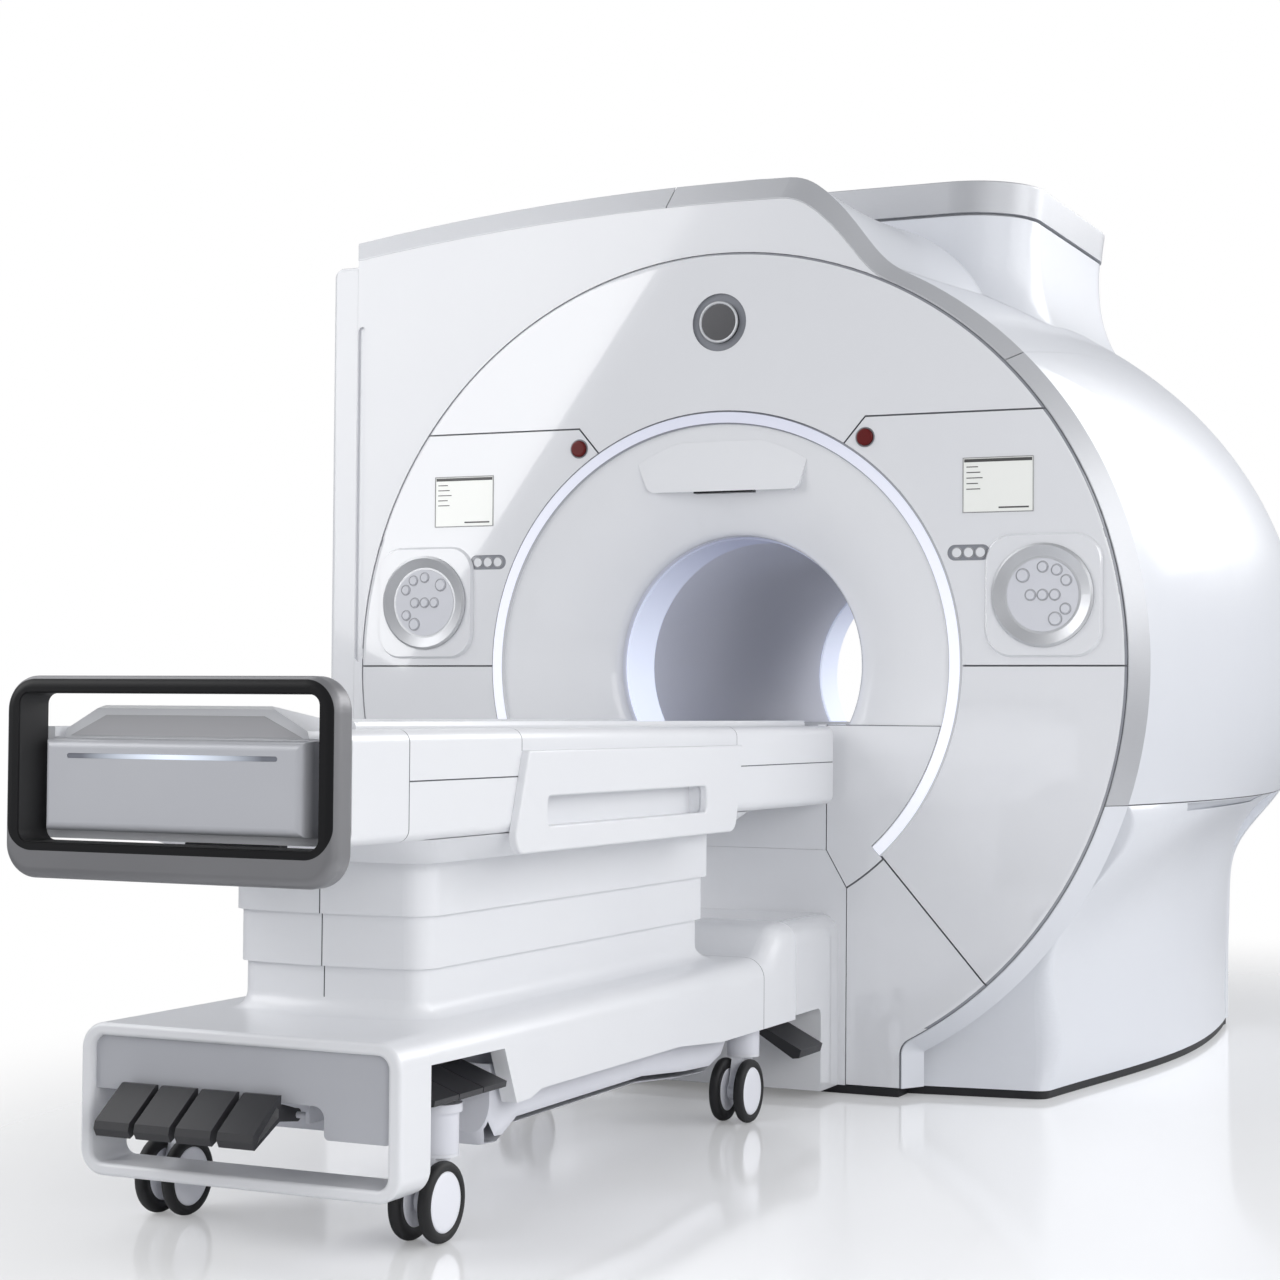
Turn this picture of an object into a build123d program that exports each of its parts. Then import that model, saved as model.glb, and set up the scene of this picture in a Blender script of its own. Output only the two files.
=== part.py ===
from build123d import *
import os
from math import asin, cos, degrees, radians, sin, sqrt

os.makedirs("parts", exist_ok=True)

# Frame: origin on the floor below the isocentre, X to the right of someone who
# stands at the table, Y into the bore, Z up. Everything is in millimetres.

# Magnet, main sizes
iso_height = 1100
face_y = -874
shell_face_y = -866
band_back_y = -800
widest_y = 50
rear_y = 1000
rear_depth = 40
floor_gap = 22
disc_radius = 1093
ring_outer_radius = 670
ring_inner_radius = 637
bore_radius = 350
bore_wall = 10
lip_y = -736
ring_end_angle = -46.9
panel_depth = 30
cover_wall = 10
joint_gap = 0.3
groove_width = 2
groove_depth = 12
rim_rounding = 16

# Front shell outline above the disc; heights on the magnet are measured from the isocentre
crown_height = iso_height + 1227
crown_radius = 8100
shell_left_x = -1200
column_seam_x = -1119
shoulder_x = 171
merge_angle = 60
band_width = 40
band_rise = 69
band_edge = 3
band_seam = 3
left_seam_x = -160
right_seam_angle = 44.5
shoulder_shape = [(0.26, 0.15), (0.46, 0.42), (0.70, 0.78)]
grip_bottom, grip_top = iso_height + 10, iso_height + 960
grip_width, grip_depth = 25, 8

# Seams of the round front
console_top = iso_height + 640
console_bottom = iso_height - 3
kink_x = 410
foot_half_width = 512
foot_blend = 45
foot_height = 400
dock_half_width = 365
dock_top = iso_height - 478
bridge_half_width = 309
ledge_height = iso_height - 155
dock_corner = (365, iso_height - 574)
diagonal_top = (456, iso_height - 485)
diagonal_foot = (735, iso_height - 802)

# Side covers
seam_height = iso_height - 348
side_bulge = 159
barrel_steps = 6
rear_bulge = 60

# Controls on the round front
dial_x, dial_z = 882, iso_height + 173
dial_radius = 130
pad_radius = 92
pod_width, pod_height = 300, 310
pod_rise = 10
pill_x, pill_z = 688, iso_height + 283
pill_length, pill_width = 112, 40
key_radius = 12
large_key_radius = 15
key_rise = 4
key_pitch = 31
screen_x, screen_z = 764, iso_height + 453
screen_width, screen_height = 184, 140
stop_x, stop_z = 410, iso_height + 586
stop_radius = 22
stop_travel = 5
stop_well = 24
screen_depth = 3
dial_depth = 12
fit_gap = 0.3
badge_z = iso_height + 907
badge_radius = 55
badge_dish = 8
ring_rise = 4
bore_lights = ((-688, -517), (824, 977))
bore_light_rise = 6

# Turret above the magnet
turret_left, turret_right = -350, 680
turret_front, turret_rear = -395, 650
turret_corner = 200
turret_foot, turret_top = iso_height + 830, iso_height + 1335
rim_height = 86
rim_gap = 8
rim_overhang = 10
crown_end_angle = 122
saddle_rear_y, saddle_inner_y = -425, -150
saddle_sink = 4

# Side skirts at four heights: inner end of the front facet, the fold, and the side at each depth
skirt_depths = (-562, -344, -69, 291, 687, 999.5)
skirt_heights = (22, 298, 400, 540)
skirt_facet_x = (480, 480, 700, 900)
skirt_folds = ((856, -740), (864, -748), (890, -786), (987, -796))
skirt_fold_radii = (34, 34, 14, 5)
skirt_side_x = (
    (883, 921, 964, 996, 987, 955), (887, 923, 965, 997, 989, 957),
    (912, 938, 974, 1000, 992, 960), (1010, 1016, 1020, 1016, 1004, 975),
)
skirt_grip_ends, skirt_grip_height, skirt_grip_depth = (-455, 330), (seam_height - 23, seam_height - 4), 6
plinth_inset = 6

# Inside the magnet
vessel_radius = 965
vessel_bore = 460
vessel_half_length = 760
coil_half_length = 700
foot_block_y = 480
vessel_middle = 100
tube_seat = 0.5

# Funnels at both ends of the bore
funnel_wall = 10
tube_rear = 985
rear_mouth_radius = 430
funnel_edge = 6
housing_top, housing_bottom = iso_height + 592, iso_height + 462
housing_half_top, housing_half_bottom = 262, 215
housing_lean = 12
window_width, window_length = 174, 26

# Bridge that carries the cradle through the bore
bridge_top = ledge_height - 21
bridge_depth = 50
rail_width = 22
bridge_rear_y = 970
shelf_thickness = 10
shelf_rear_y = -775

# Housing at the foot of the magnet that the table docks into
dock_block_half = 345
dock_block_front = -1177
dock_block_top = 460
dock_arch_y = -1000
dock_arch_z = 232
dock_blend = 55

# Table base
base_half, base_edge = 345, 50
base_front, base_rear = -2982, -1385
base_top = 390
cover_skin = 8
side_bottom = 222
arch_top = 340
arch_line = [(-1640, 222), (-1880, 240), (-2545, 240), (-2592, 227), (-2650, 226), (-2702, 336)]
arch_flange = 25
block_end, block_crest_y, block_crest = -1177.3, -1285, 448
bezel_front, bezel_bottom = -3090, 106
bezel_opening, bezel_low, bezel_high, bezel_corner = 318, 130, 366, 24
panel_front, panel_skin = -3078, 12
strip_bottom, panel_bottom, panel_step = 267, 208, 181

# Lift column: three tiers, the outermost first
tier_half, tier_front, tier_rear = 223, -2813, -1455
tier_bow, tier_corner, tier_step, tier_gap = 25, 60, 10, 0.5
tier_bottoms = (bridge_top - 339, 484)
tier_tops = (bridge_top - 189, bridge_top - 324, 515)
tier_foot_blend = 35
seam_depth = 1.5
mast_half, mast_y, mast_length, mast_bottom = 44, -2125, 250, 400
sleeve_wall = 15

# Chassis
rail_x, rail_size = 170, 40
pan_half, pan_skin, pan_edge, pan_top = 300, 6, 40, 300
pan_line = [(-2678, 168), (-2655, 140), (-2610, 137), (-2550, 164), (-1967, 165), (-1739, 146), (-1594, 140),
            (-1518, 160), (-1480, 200), (-1470, 221)]
cross_beams = (-2960, -2274, -1976, -1200)
pan_ribs = (-2600, -1540)
caster_x, caster_y, caster_trail = 280, (-2840, -1356), 40
socket_bottom, socket_top, socket_radius = 234, 250, 45
stem_radius, stem_bottom, pin_radius, pin_length = 39, 158, 12, 40
fork_plate, fork_web, axle_hub, axle_radius = 5.5, 28, 24, 8
wheel_radius, wheel_inner, wheel_width = 75, 19, 24

# Table top; its heights are measured from the bridge that it docks level with, or from its own underside
deck_half, deck_bottom, deck_top = 344, bridge_top - 182, bridge_top + 18
deck_front, deck_rear, cap_front = -3069, -920, -3262
deck_shoulder, deck_heel = 24, 24
deck_cavity, deck_wall, deck_ceiling = 300, 14, bridge_top - 16
channel_half = 280
side_seam_z = deck_bottom + 108
beam_x = 120
under_half, under_front, under_rear = 329, -3040, -1380
pan_lip_half, pan_lip_z, pan_lip_front, pan_lip_rear = 262, deck_bottom - 52, -2870, -1425
handle_top, handle_foot = (-2640, -1562), (-2704, -1606)
handle_high, handle_low, handle_skin = deck_bottom + 158, deck_bottom - 40, 17
grip_slot, grip_pocket = (-2560, -1773, deck_bottom + 10, deck_bottom + 68), 30
housing_face, housing_face_half, housing_rear_half = -3304, 268, 279
housing_low, housing_high = deck_bottom + 14, deck_bottom + 180
light_bar_z, light_bar_length, light_bar_width, light_bar_depth = housing_high - 31, 442, 9, 4
loop_half, loop_low, loop_high, loop_corner = 348, deck_bottom - 70, deck_bottom + 291, 62
loop_front, loop_crown = -3321, 20
loop_front_side, loop_rear_side, loop_top_rail, loop_bottom_rail, loop_inner_corner = 33, 51, 29, 64, 22
cradle_half, cradle_bottom, cradle_top, cradle_dish = 270, bridge_top + 0.5, bridge_top + 31, 14
cradle_front, cradle_rear = -3130, -930
wedge_foot, wedge_head, wedge_top = 258, 177, cradle_top + 26

# Pedals: side views as (y, z) for the front ones, end views as (x, z) for the others
shaft_radius, hub_radius = 6, 12
front_pedal_x = (-205, -117, -28, 62)
front_pad_width, front_arm_width = 76, 40
front_pivot = (-3010, 236)
front_shaft_ends = (-266, 112)
front_pad_line = [(-3180, 226), (-3184, 212), (-3176, 198), (-3096, 238), (-3092, 284), (-3100, 284)]
front_arm_line = [(-3110, 240), (-3110, 262), (-3060, 262), (-3012, 248), (-3010, 224), (-3070, 232)]
front_recess_line = [(-3168, 209), (-3162, 220), (-3107, 264), (-3101, 260), (-3101, 245)]
front_recess_depth = 16
side_pivot = (205, 303)
side_shaft_ends = (-2977, -2687)
side_pedal_start, side_pedal_pitch, side_pad_width = -2970, 93, 90
side_pad_line = [(200, 294), (200, 312), (240, 312), (346, 274), (344, 263), (334, 262), (236, 297)]
dock_pivot = (215, 208)
dock_shaft_ends = (-1225, -1040)
dock_bracket = 38
dock_pad_ends = (-1182, -1032)
dock_pad_line = [(212, 197), (215, 219), (250, 205), (362, 148), (356, 128), (340, 126), (236, 190)]


def facing(y):
    """Plane across the bore at depth y: sketch x is right, sketch y is up."""
    return Plane.XZ.offset(-y)


def on_circle(radius, angle):
    """Point at an angle round the isocentre, in the plane across the bore."""
    return radius * cos(radians(angle)), iso_height + radius * sin(radians(angle))


def mirror_x(points):
    return [(-x, z) for x, z in points]


def polygon(points):
    """Closed flat sketch through the points."""
    with BuildSketch() as shape:
        with BuildLine():
            Polyline(*points, close=True)
        make_face()
    return shape.sketch


def disc_at(radius):
    """Round sketch about the isocentre."""
    with BuildSketch() as shape:
        with Locations((0, iso_height)):
            Circle(radius)
    return shape.sketch


# Round front: the disc runs down into a foot that stands just off the floor
with BuildSketch() as disc_outline:
    with Locations((0, iso_height)):
        Circle(disc_radius)
    with Locations((0, floor_gap)):
        Rectangle(2 * foot_half_width, 2 * (iso_height - disc_radius), align=(Align.CENTER, Align.MIN))
        Rectangle(2 * foot_half_width, foot_height, align=(Align.CENTER, Align.MIN))
        Rectangle(4 * disc_radius, 3 * disc_radius, align=(Align.CENTER, Align.MIN), mode=Mode.INTERSECT)
    ankles = disc_outline.vertices().filter_by_position(Axis.Y, floor_gap + 5, floor_gap + 250)
    fillet(ankles, foot_blend)

ring_cut = disc_at(ring_outer_radius + joint_gap)
wedge_reach = 2 * disc_radius
foot_arc = disc_at(sqrt(dock_corner[0] ** 2 + (iso_height - dock_corner[1]) ** 2))

console_side = [
    (wedge_reach, console_top), (kink_x, console_top), (kink_x - 90, console_top - 105),
    (0, console_bottom), (wedge_reach, console_bottom),
]
slope = (diagonal_foot[1] - diagonal_top[1]) / (diagonal_foot[0] - diagonal_top[0])
diagonal_inner = (diagonal_top[0] - 30, diagonal_top[1] - 30 * slope)
diagonal_outer = (diagonal_foot[0] + 90, diagonal_foot[1] + 90 * slope)
fascia_side = [
    (wedge_reach, console_bottom), (0, console_bottom), diagonal_inner, diagonal_outer,
    (wedge_reach, diagonal_outer[1]),
]
foot_side = [
    dock_corner, (dock_corner[0], 0), (wedge_reach, 0), (wedge_reach, diagonal_outer[1]),
    diagonal_outer, diagonal_inner,
]
upper_side = [
    (-wedge_reach, console_top), (-kink_x, console_top), (-kink_x + 90, console_top - 105),
    (kink_x - 90, console_top - 105), (kink_x, console_top), (wedge_reach, console_top),
    (wedge_reach, 3 * disc_radius), (-wedge_reach, 3 * disc_radius),
]

right_console_region = (disc_outline.sketch & polygon(console_side)) - ring_cut
left_console_region = (disc_outline.sketch & polygon(mirror_x(console_side))) - ring_cut
upper_region = (disc_outline.sketch & polygon(upper_side)) - ring_cut
right_fascia_region = (disc_outline.sketch & polygon(fascia_side)) - ring_cut
left_fascia_region = (disc_outline.sketch & polygon(mirror_x(fascia_side))) - ring_cut
right_foot_region = (disc_outline.sketch & polygon(foot_side)) - foot_arc
left_foot_region = (disc_outline.sketch & polygon(mirror_x(foot_side))) - foot_arc

# Inside the ring, below the ledge: one apron plate on each side of the bridge
ring_end_line = on_circle(ring_outer_radius + 60, ring_end_angle)
below_ring_end = [(0, iso_height), ring_end_line, (ring_end_line[0], 0), (0, 0)]
apron_side = [
    (bridge_half_width, ledge_height), (bridge_half_width, dock_top), dock_corner,
    (wedge_reach, dock_corner[1]), (wedge_reach, ledge_height),
]
inside_ring = disc_at(ring_inner_radius - joint_gap) + (foot_arc & polygon(below_ring_end))
right_apron_region = inside_ring & polygon(apron_side)
inside_ring_left = disc_at(ring_inner_radius - joint_gap) + (foot_arc & polygon(mirror_x(below_ring_end)))
left_apron_region = inside_ring_left & polygon(mirror_x(apron_side))

front_plates = {
    "upper_fascia": [upper_region],
    "right_console": [right_console_region],
    "left_console": [left_console_region],
    "lower_fascias": [right_fascia_region, left_fascia_region],
    "foot_panels": [right_foot_region, left_foot_region],
    "bore_aprons": [right_apron_region, left_apron_region],
}

# What is cut away to round the rim of the disc above its foot
ankle_height = iso_height - sqrt(disc_radius ** 2 - foot_half_width ** 2)
with BuildPart() as rim_tool:
    with BuildSketch(Plane.XY.offset(iso_height)):
        with BuildLine():
            start = (disc_radius - rim_rounding, face_y)
            end = (disc_radius, face_y + rim_rounding)
            RadiusArc(start, end, -rim_rounding)
            Polyline(end, (disc_radius + 20, end[1]), (disc_radius + 20, face_y - 20),
                     (start[0], face_y - 20), start)
        make_face()
    revolve(axis=Axis((0, 0, iso_height), (0, 1, 0)))
    with Locations((0, 0, ankle_height + foot_blend)):
        Box(3 * disc_radius, 4 * abs(face_y), 2 * disc_radius, align=(Align.CENTER, Align.CENTER, Align.MAX),
            mode=Mode.SUBTRACT)
rim_cutter = rim_tool.part

# Each plate has a rebate round its edge, so the seams read as fine grooves
plates = {}
for name, regions in front_plates.items():
    with BuildPart() as plate:
        for region in regions:
            with BuildSketch(facing(face_y + groove_depth)) as back:
                add(region)
                offset(amount=-joint_gap)
            extrude(amount=-(panel_depth - groove_depth))
            with BuildSketch(facing(face_y)) as front:
                add(region)
                offset(amount=-(joint_gap + groove_width))
            extrude(amount=-groove_depth)
        add(rim_cutter, mode=Mode.SUBTRACT)
    plates[name] = plate.part


def save(builder, name):
    """Label one sub-part and write it."""
    builder.part.label = name
    export_step(builder.part, f"parts/{name}.step")


with BuildPart() as upper_fascia:
    add(plates["upper_fascia"])
    with BuildSketch(facing(face_y)):
        with Locations((0, badge_z)):
            Circle(badge_radius + 22)
    extrude(amount=-badge_dish, mode=Mode.SUBTRACT)
save(upper_fascia, "upper_fascia")

with BuildPart() as lower_fascias:
    add(plates["lower_fascias"])
save(lower_fascias, "lower_fascias")

with BuildPart() as foot_panels:
    add(plates["foot_panels"])
save(foot_panels, "foot_panels")

# Each console carries a screen pocket, a raised pod round the dial, a row of
# three keys and the hole for the stop button
for side, hand in (("left", -1), ("right", 1)):
    with BuildPart() as console:
        add(plates[f"{side}_console"])
        with BuildSketch(facing(face_y)):
            with Locations((hand * dial_x, dial_z)):
                RectangleRounded(pod_width, pod_height, 70)
        extrude(amount=pod_rise, taper=30)
        with BuildSketch(facing(face_y - pod_rise)):
            with Locations((hand * dial_x, dial_z)):
                Circle(dial_radius + fit_gap)
        extrude(amount=-(pod_rise + dial_depth), mode=Mode.SUBTRACT)
        with BuildSketch(facing(face_y)):
            with Locations((hand * screen_x, screen_z)):
                RectangleRounded(screen_width + 2 * fit_gap, screen_height + 2 * fit_gap, 4)
            with Locations((hand * pill_x, pill_z)):
                SlotOverall(pill_length, pill_width)
        extrude(amount=-screen_depth, mode=Mode.SUBTRACT)
        with BuildSketch(facing(face_y + screen_depth)):
            with Locations(*[(hand * pill_x + step * key_pitch, pill_z) for step in (-1, 0, 1)]):
                Circle(key_radius)
        extrude(amount=key_rise)
        with BuildSketch(facing(face_y)):
            with Locations((hand * stop_x, stop_z)):
                Circle(stop_radius + fit_gap)
        extrude(amount=-stop_well, mode=Mode.SUBTRACT)
    save(console, f"{side}_console")

# Bare glass fronts of the two console screens
with BuildPart() as console_screens:
    with BuildSketch(facing(face_y + screen_depth - joint_gap)):
        with Locations((-screen_x, screen_z), (screen_x, screen_z)):
            RectangleRounded(screen_width, screen_height, 3.5)
    extrude(amount=screen_depth - joint_gap + 1)
save(console_screens, "console_screens")

# Metal rings round the key pads: a cone that falls from the rim to the pad
with BuildPart() as dial_bezels:
    for hand in (-1, 1):
        centre = Plane(origin=(hand * dial_x, face_y - pod_rise, dial_z), x_dir=(1, 0, 0), z_dir=(0, -1, 0))
        with BuildSketch(Plane(origin=centre.origin, x_dir=(1, 0, 0), z_dir=(0, 0, 1))) as section:
            with BuildLine():
                Polyline(
                    (dial_radius, dial_depth + pod_rise - joint_gap), (dial_radius, -6), (dial_radius - 6, -10),
                    (pad_radius + 6, 1), (pad_radius + fit_gap, 1),
                    (pad_radius + fit_gap, dial_depth + pod_rise - joint_gap), close=True,
                )
            make_face()
        revolve(axis=Axis(centre.origin, (0, 1, 0)))
save(dial_bezels, "dial_bezels")

# Sealed key pads: nine domed keys on one moulded disc
key_places = [
    (-51, 49, large_key_radius), (32, -60, large_key_radius), (0, 70, key_radius), (36, 62, key_radius),
    (60, 36, key_radius), (-31, 0, key_radius), (0, 0, key_radius), (31, 0, key_radius), (58, -35, key_radius),
]
with BuildPart() as key_pads:
    for hand in (-1, 1):
        with BuildSketch(facing(face_y + dial_depth - joint_gap)):
            with Locations((hand * dial_x, dial_z)):
                Circle(pad_radius)
        extrude(amount=dial_depth - joint_gap + pod_rise)
        for x, z, radius in key_places:
            with BuildSketch(facing(face_y - pod_rise)):
                with Locations((hand * (dial_x + x), dial_z + z)):
                    Circle(radius)
            extrude(amount=key_rise, taper=20)
save(key_pads, "key_pads")

# Red stop buttons: a domed head on a stem that slides into the console
for side, hand in (("left", -1), ("right", 1)):
    with BuildPart() as stop_button:
        with BuildSketch(facing(face_y + stop_well - stop_travel - 2)):
            with Locations((hand * stop_x, stop_z)):
                Circle(stop_radius)
        extrude(amount=stop_well + 2)
        front_edge = stop_button.edges().group_by(Axis.Y)[0]
        fillet(front_edge, stop_travel)
    save(stop_button, f"stop_button_{side}")

# Blank round badge in its dish
with BuildPart() as badge:
    with BuildSketch(facing(face_y + badge_dish - joint_gap)):
        with Locations((0, badge_z)):
            Circle(badge_radius)
    extrude(amount=badge_dish + 4)
    fillet(badge.edges().group_by(Axis.Y)[0], 4)
save(badge, "badge")

# Glowing ring on the front and the two light bands inside the bore
with BuildPart() as light_rings:
    with BuildSketch(facing(face_y + panel_depth - 4)):
        with Locations((0, iso_height)):
            Circle(ring_outer_radius)
            Circle(ring_inner_radius, mode=Mode.SUBTRACT)
        add(polygon(below_ring_end), mode=Mode.SUBTRACT)
        add(polygon(mirror_x(below_ring_end)), mode=Mode.SUBTRACT)
    extrude(amount=panel_depth - 4 + ring_rise)
    chamfer(light_rings.edges().filter_by(GeomType.CIRCLE).group_by(Axis.Y)[0], 3)
    for first, last in bore_lights:
        with BuildSketch(facing(first)):
            with Locations((0, iso_height)):
                Circle(bore_radius - joint_gap)
                Circle(bore_radius - bore_light_rise, mode=Mode.SUBTRACT)
            with Locations((0, ledge_height + 1)):
                Rectangle(3 * bore_radius, bore_radius, align=(Align.CENTER, Align.MAX), mode=Mode.SUBTRACT)
        extrude(amount=first - last)
save(light_rings, "light_rings")


def crown_path(rise, radius, left):
    """Line over the top of the front shell, from its left end to the round rim."""
    top_radius = crown_radius + rise
    drop = crown_height - crown_radius
    start = (left, drop + sqrt(top_radius ** 2 - left ** 2))
    shoulder = (shoulder_x, drop + sqrt(top_radius ** 2 - shoulder_x ** 2))
    end = on_circle(radius, merge_angle)
    run, fall = end[0] - shoulder[0], shoulder[1] - end[1]
    bends = [(shoulder[0] + run * u, shoulder[1] - fall * v) for u, v in shoulder_shape]
    with BuildLine() as path:
        RadiusArc(start, shoulder, top_radius)
        Spline(shoulder, *bends, end,
               tangents=((1, -0.05), (sin(radians(merge_angle)), -cos(radians(merge_angle)))))
    return path.line


def crown_strip(rise, radius, left):
    """Closed strip between the shell's own top line and a line further out."""
    inner = crown_path(joint_gap, disc_radius + joint_gap, column_seam_x)
    outer = crown_path(rise, radius, left)
    with BuildSketch() as strip:
        with BuildLine():
            add(outer)
            Line(outer @ 1, inner @ 1)
            add(inner)
            Line(inner @ 0, outer @ 0)
        make_face()
    return strip.sketch


# White shell behind the disc, with the long grip beside the column
shell_depth = band_back_y - shell_face_y - joint_gap
shell_top = crown_path(-joint_gap, disc_radius - joint_gap, column_seam_x + joint_gap)
with BuildSketch() as shell_outline:
    with BuildLine():
        add(shell_top)
        Polyline(shell_top @ 1, (0, iso_height), (0, floor_gap), (column_seam_x + joint_gap, floor_gap),
                 shell_top @ 0)
    make_face()
    add(disc_outline.sketch, mode=Mode.SUBTRACT)
with BuildPart() as front_shell:
    with BuildSketch(facing(shell_face_y)):
        add(shell_outline.sketch)
    extrude(amount=-shell_depth)
    with BuildSketch(facing(shell_face_y)):
        with Locations((column_seam_x + 2 + grip_width / 2, (grip_bottom + grip_top) / 2)):
            SlotOverall(grip_top - grip_bottom, grip_width, rotation=90)
    extrude(amount=-grip_depth, mode=Mode.SUBTRACT)
save(front_shell, "front_shell")

# Straight service column on the left
with BuildPart() as column_cover:
    column_top = (shell_top @ 0).Y - 16
    with Locations(((shell_left_x + column_seam_x - joint_gap) / 2, shell_face_y, floor_gap)):
        Box(column_seam_x - joint_gap - shell_left_x, shell_depth, column_top - floor_gap,
            align=(Align.CENTER, Align.MIN, Align.MIN))
    top_left = column_cover.edges().filter_by(Axis.Y).group_by(Axis.X)[0].sort_by(Axis.Z)[-1]
    fillet(top_left, 28)
    front_left = column_cover.edges().filter_by(Axis.Z).group_by(Axis.X)[0].sort_by(Axis.Y)[0]
    fillet(front_left, 14)
save(column_cover, "column_cover")

# Wedge round the rim of the disc, from its face back to the side covers
with BuildPart() as rim_wedge:
    with BuildSketch(facing(shell_face_y)):
        add(disc_outline.sketch)
        offset(amount=band_edge)
    with BuildSketch(facing(band_back_y)):
        add(disc_outline.sketch)
        offset(amount=band_width)
    loft()
    with BuildSketch(facing(face_y)):
        add(disc_outline.sketch)
        offset(amount=joint_gap)
    extrude(amount=-2 * panel_depth - 40, mode=Mode.SUBTRACT)
seam_start = on_circle(disc_radius - 60, right_seam_angle)
seam_finish = on_circle(disc_radius + 120, right_seam_angle)
merge_far = on_circle(2 * disc_radius, merge_angle)
cut_depth = 2 * abs(face_y - band_back_y)
with BuildPart() as edge_band:
    with BuildSketch(facing(shell_face_y)):
        add(crown_strip(band_edge, disc_radius + band_edge, column_seam_x))
    with BuildSketch(facing(band_back_y)):
        add(crown_strip(band_rise, disc_radius + band_width, column_seam_x - band_width))
    loft()
    add(rim_wedge.part & extrude(
        facing(face_y) * polygon([(0, iso_height), merge_far, (3 * disc_radius, iso_height),
                                  (3 * disc_radius, seam_height + joint_gap), (0, seam_height + joint_gap)]),
        -cut_depth, mode=Mode.PRIVATE))
    with BuildSketch(facing(face_y)):
        with Locations((left_seam_x, crown_height)):
            Rectangle(band_seam, 4 * band_rise)
        with BuildLine():
            Line(seam_start, seam_finish)
        trace(line_width=band_seam)
    extrude(amount=-cut_depth, mode=Mode.SUBTRACT)
    with BuildSketch(facing(face_y)):
        add(disc_outline.sketch)
        offset(amount=joint_gap)
    extrude(amount=-cut_depth, mode=Mode.SUBTRACT)
save(edge_band, "edge_band")


def funnel_front(mouth_radius, mouth_y, lip_radius, lip_end_y, flat):
    """Visible line of a funnel, from its mouth to the bore."""
    span = lip_end_y - mouth_y
    with BuildLine() as line:
        Spline(
            (mouth_radius, mouth_y), (mouth_radius - 160, mouth_y + 0.36 * span),
            (lip_radius + 22, mouth_y + 0.76 * span), (lip_radius, lip_end_y),
            tangents=((-1, flat), (0, 1 if span > 0 else -1)),
        )
    return line.line


def funnel_profile(mouth_radius, mouth_y, lip_radius, lip_end_y, flat):
    """Section of a funnel from its mouth to the bore, one wall thick."""
    span = lip_end_y - mouth_y
    with BuildSketch(Plane.XY.offset(iso_height)) as section:
        with BuildLine():
            front = funnel_front(mouth_radius, mouth_y, lip_radius, lip_end_y, flat)
            add(front)
            back = Spline(
                (lip_radius + funnel_wall, lip_end_y), (lip_radius + 22 + funnel_wall, mouth_y + 0.80 * span),
                (mouth_radius - 154, mouth_y + 0.36 * span + funnel_wall + 2),
                (mouth_radius, mouth_y + 1.6 * funnel_wall),
                tangents=((0, -1), (1, -flat)),
            )
            Line(front @ 1, back @ 0)
            Line(back @ 1, front @ 0)
        make_face()
    return section.sketch


bore_axis = Axis((0, 0, iso_height), (0, 1, 0))
tube_front = lip_y + 24
front_mouth = (ring_inner_radius - 2 * joint_gap, face_y + funnel_edge)

with BuildPart() as front_funnel:
    add(funnel_profile(*front_mouth, bore_radius, tube_front - joint_gap, 0.3))
    revolve(axis=bore_axis)
    with Locations((0, 0, ledge_height)):
        Box(4 * bore_radius, 4 * abs(face_y), 4 * bore_radius, align=(Align.CENTER, Align.CENTER, Align.MAX),
            mode=Mode.SUBTRACT)
save(front_funnel, "front_funnel")

with BuildPart() as bore_tube:
    with BuildSketch(facing(tube_front)):
        with Locations((0, iso_height)):
            Circle(bore_radius + bore_wall)
            Circle(bore_radius, mode=Mode.SUBTRACT)
    extrude(amount=tube_front - tube_rear)
save(bore_tube, "bore_tube")

# Housing of the alignment light, let into the top of the funnel
with BuildPart() as funnel_space:
    with BuildSketch(Plane.XY.offset(iso_height)):
        with BuildLine():
            surface = funnel_front(*front_mouth, bore_radius, tube_front - joint_gap, 0.3)
            add(surface)
            Polyline(surface @ 1, (front_mouth[0], tube_front - joint_gap), surface @ 0)
        make_face()
    revolve(axis=bore_axis)
with BuildPart() as light_housing:
    with BuildSketch(facing(face_y + funnel_edge + 2)):
        with BuildLine():
            Polyline((-housing_half_top, housing_top), (housing_half_top, housing_top),
                     (housing_half_bottom, housing_bottom), (-housing_half_bottom, housing_bottom), close=True)
        make_face()
        fillet(vertices(), 28)
    extrude(amount=-140)
    with BuildSketch(Plane.YZ.offset(-housing_half_top - 10)):
        with BuildLine():
            Polyline((face_y, housing_top + 20), (face_y + 14, housing_top + 20),
                     (face_y + 14 + housing_lean, housing_bottom - 20), (face_y, housing_bottom - 20), close=True)
        make_face()
    extrude(amount=2 * housing_half_top + 20, mode=Mode.SUBTRACT)
    add(funnel_space.part.moved(Location((0, -2 * joint_gap, 0))), mode=Mode.SUBTRACT)
    window_plane = Plane.XY.offset(housing_bottom)
    with BuildSketch(window_plane):
        with Locations((0, face_y + housing_lean + 32)):
            Rectangle(window_width, window_length)
    extrude(amount=6, mode=Mode.SUBTRACT)
    with BuildSketch(window_plane):
        with Locations((0, face_y + housing_lean + 32)):
            Rectangle(window_width - 2 * fit_gap, window_length - 2 * fit_gap)
    extrude(amount=6 - fit_gap)
save(light_housing, "light_housing")

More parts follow.
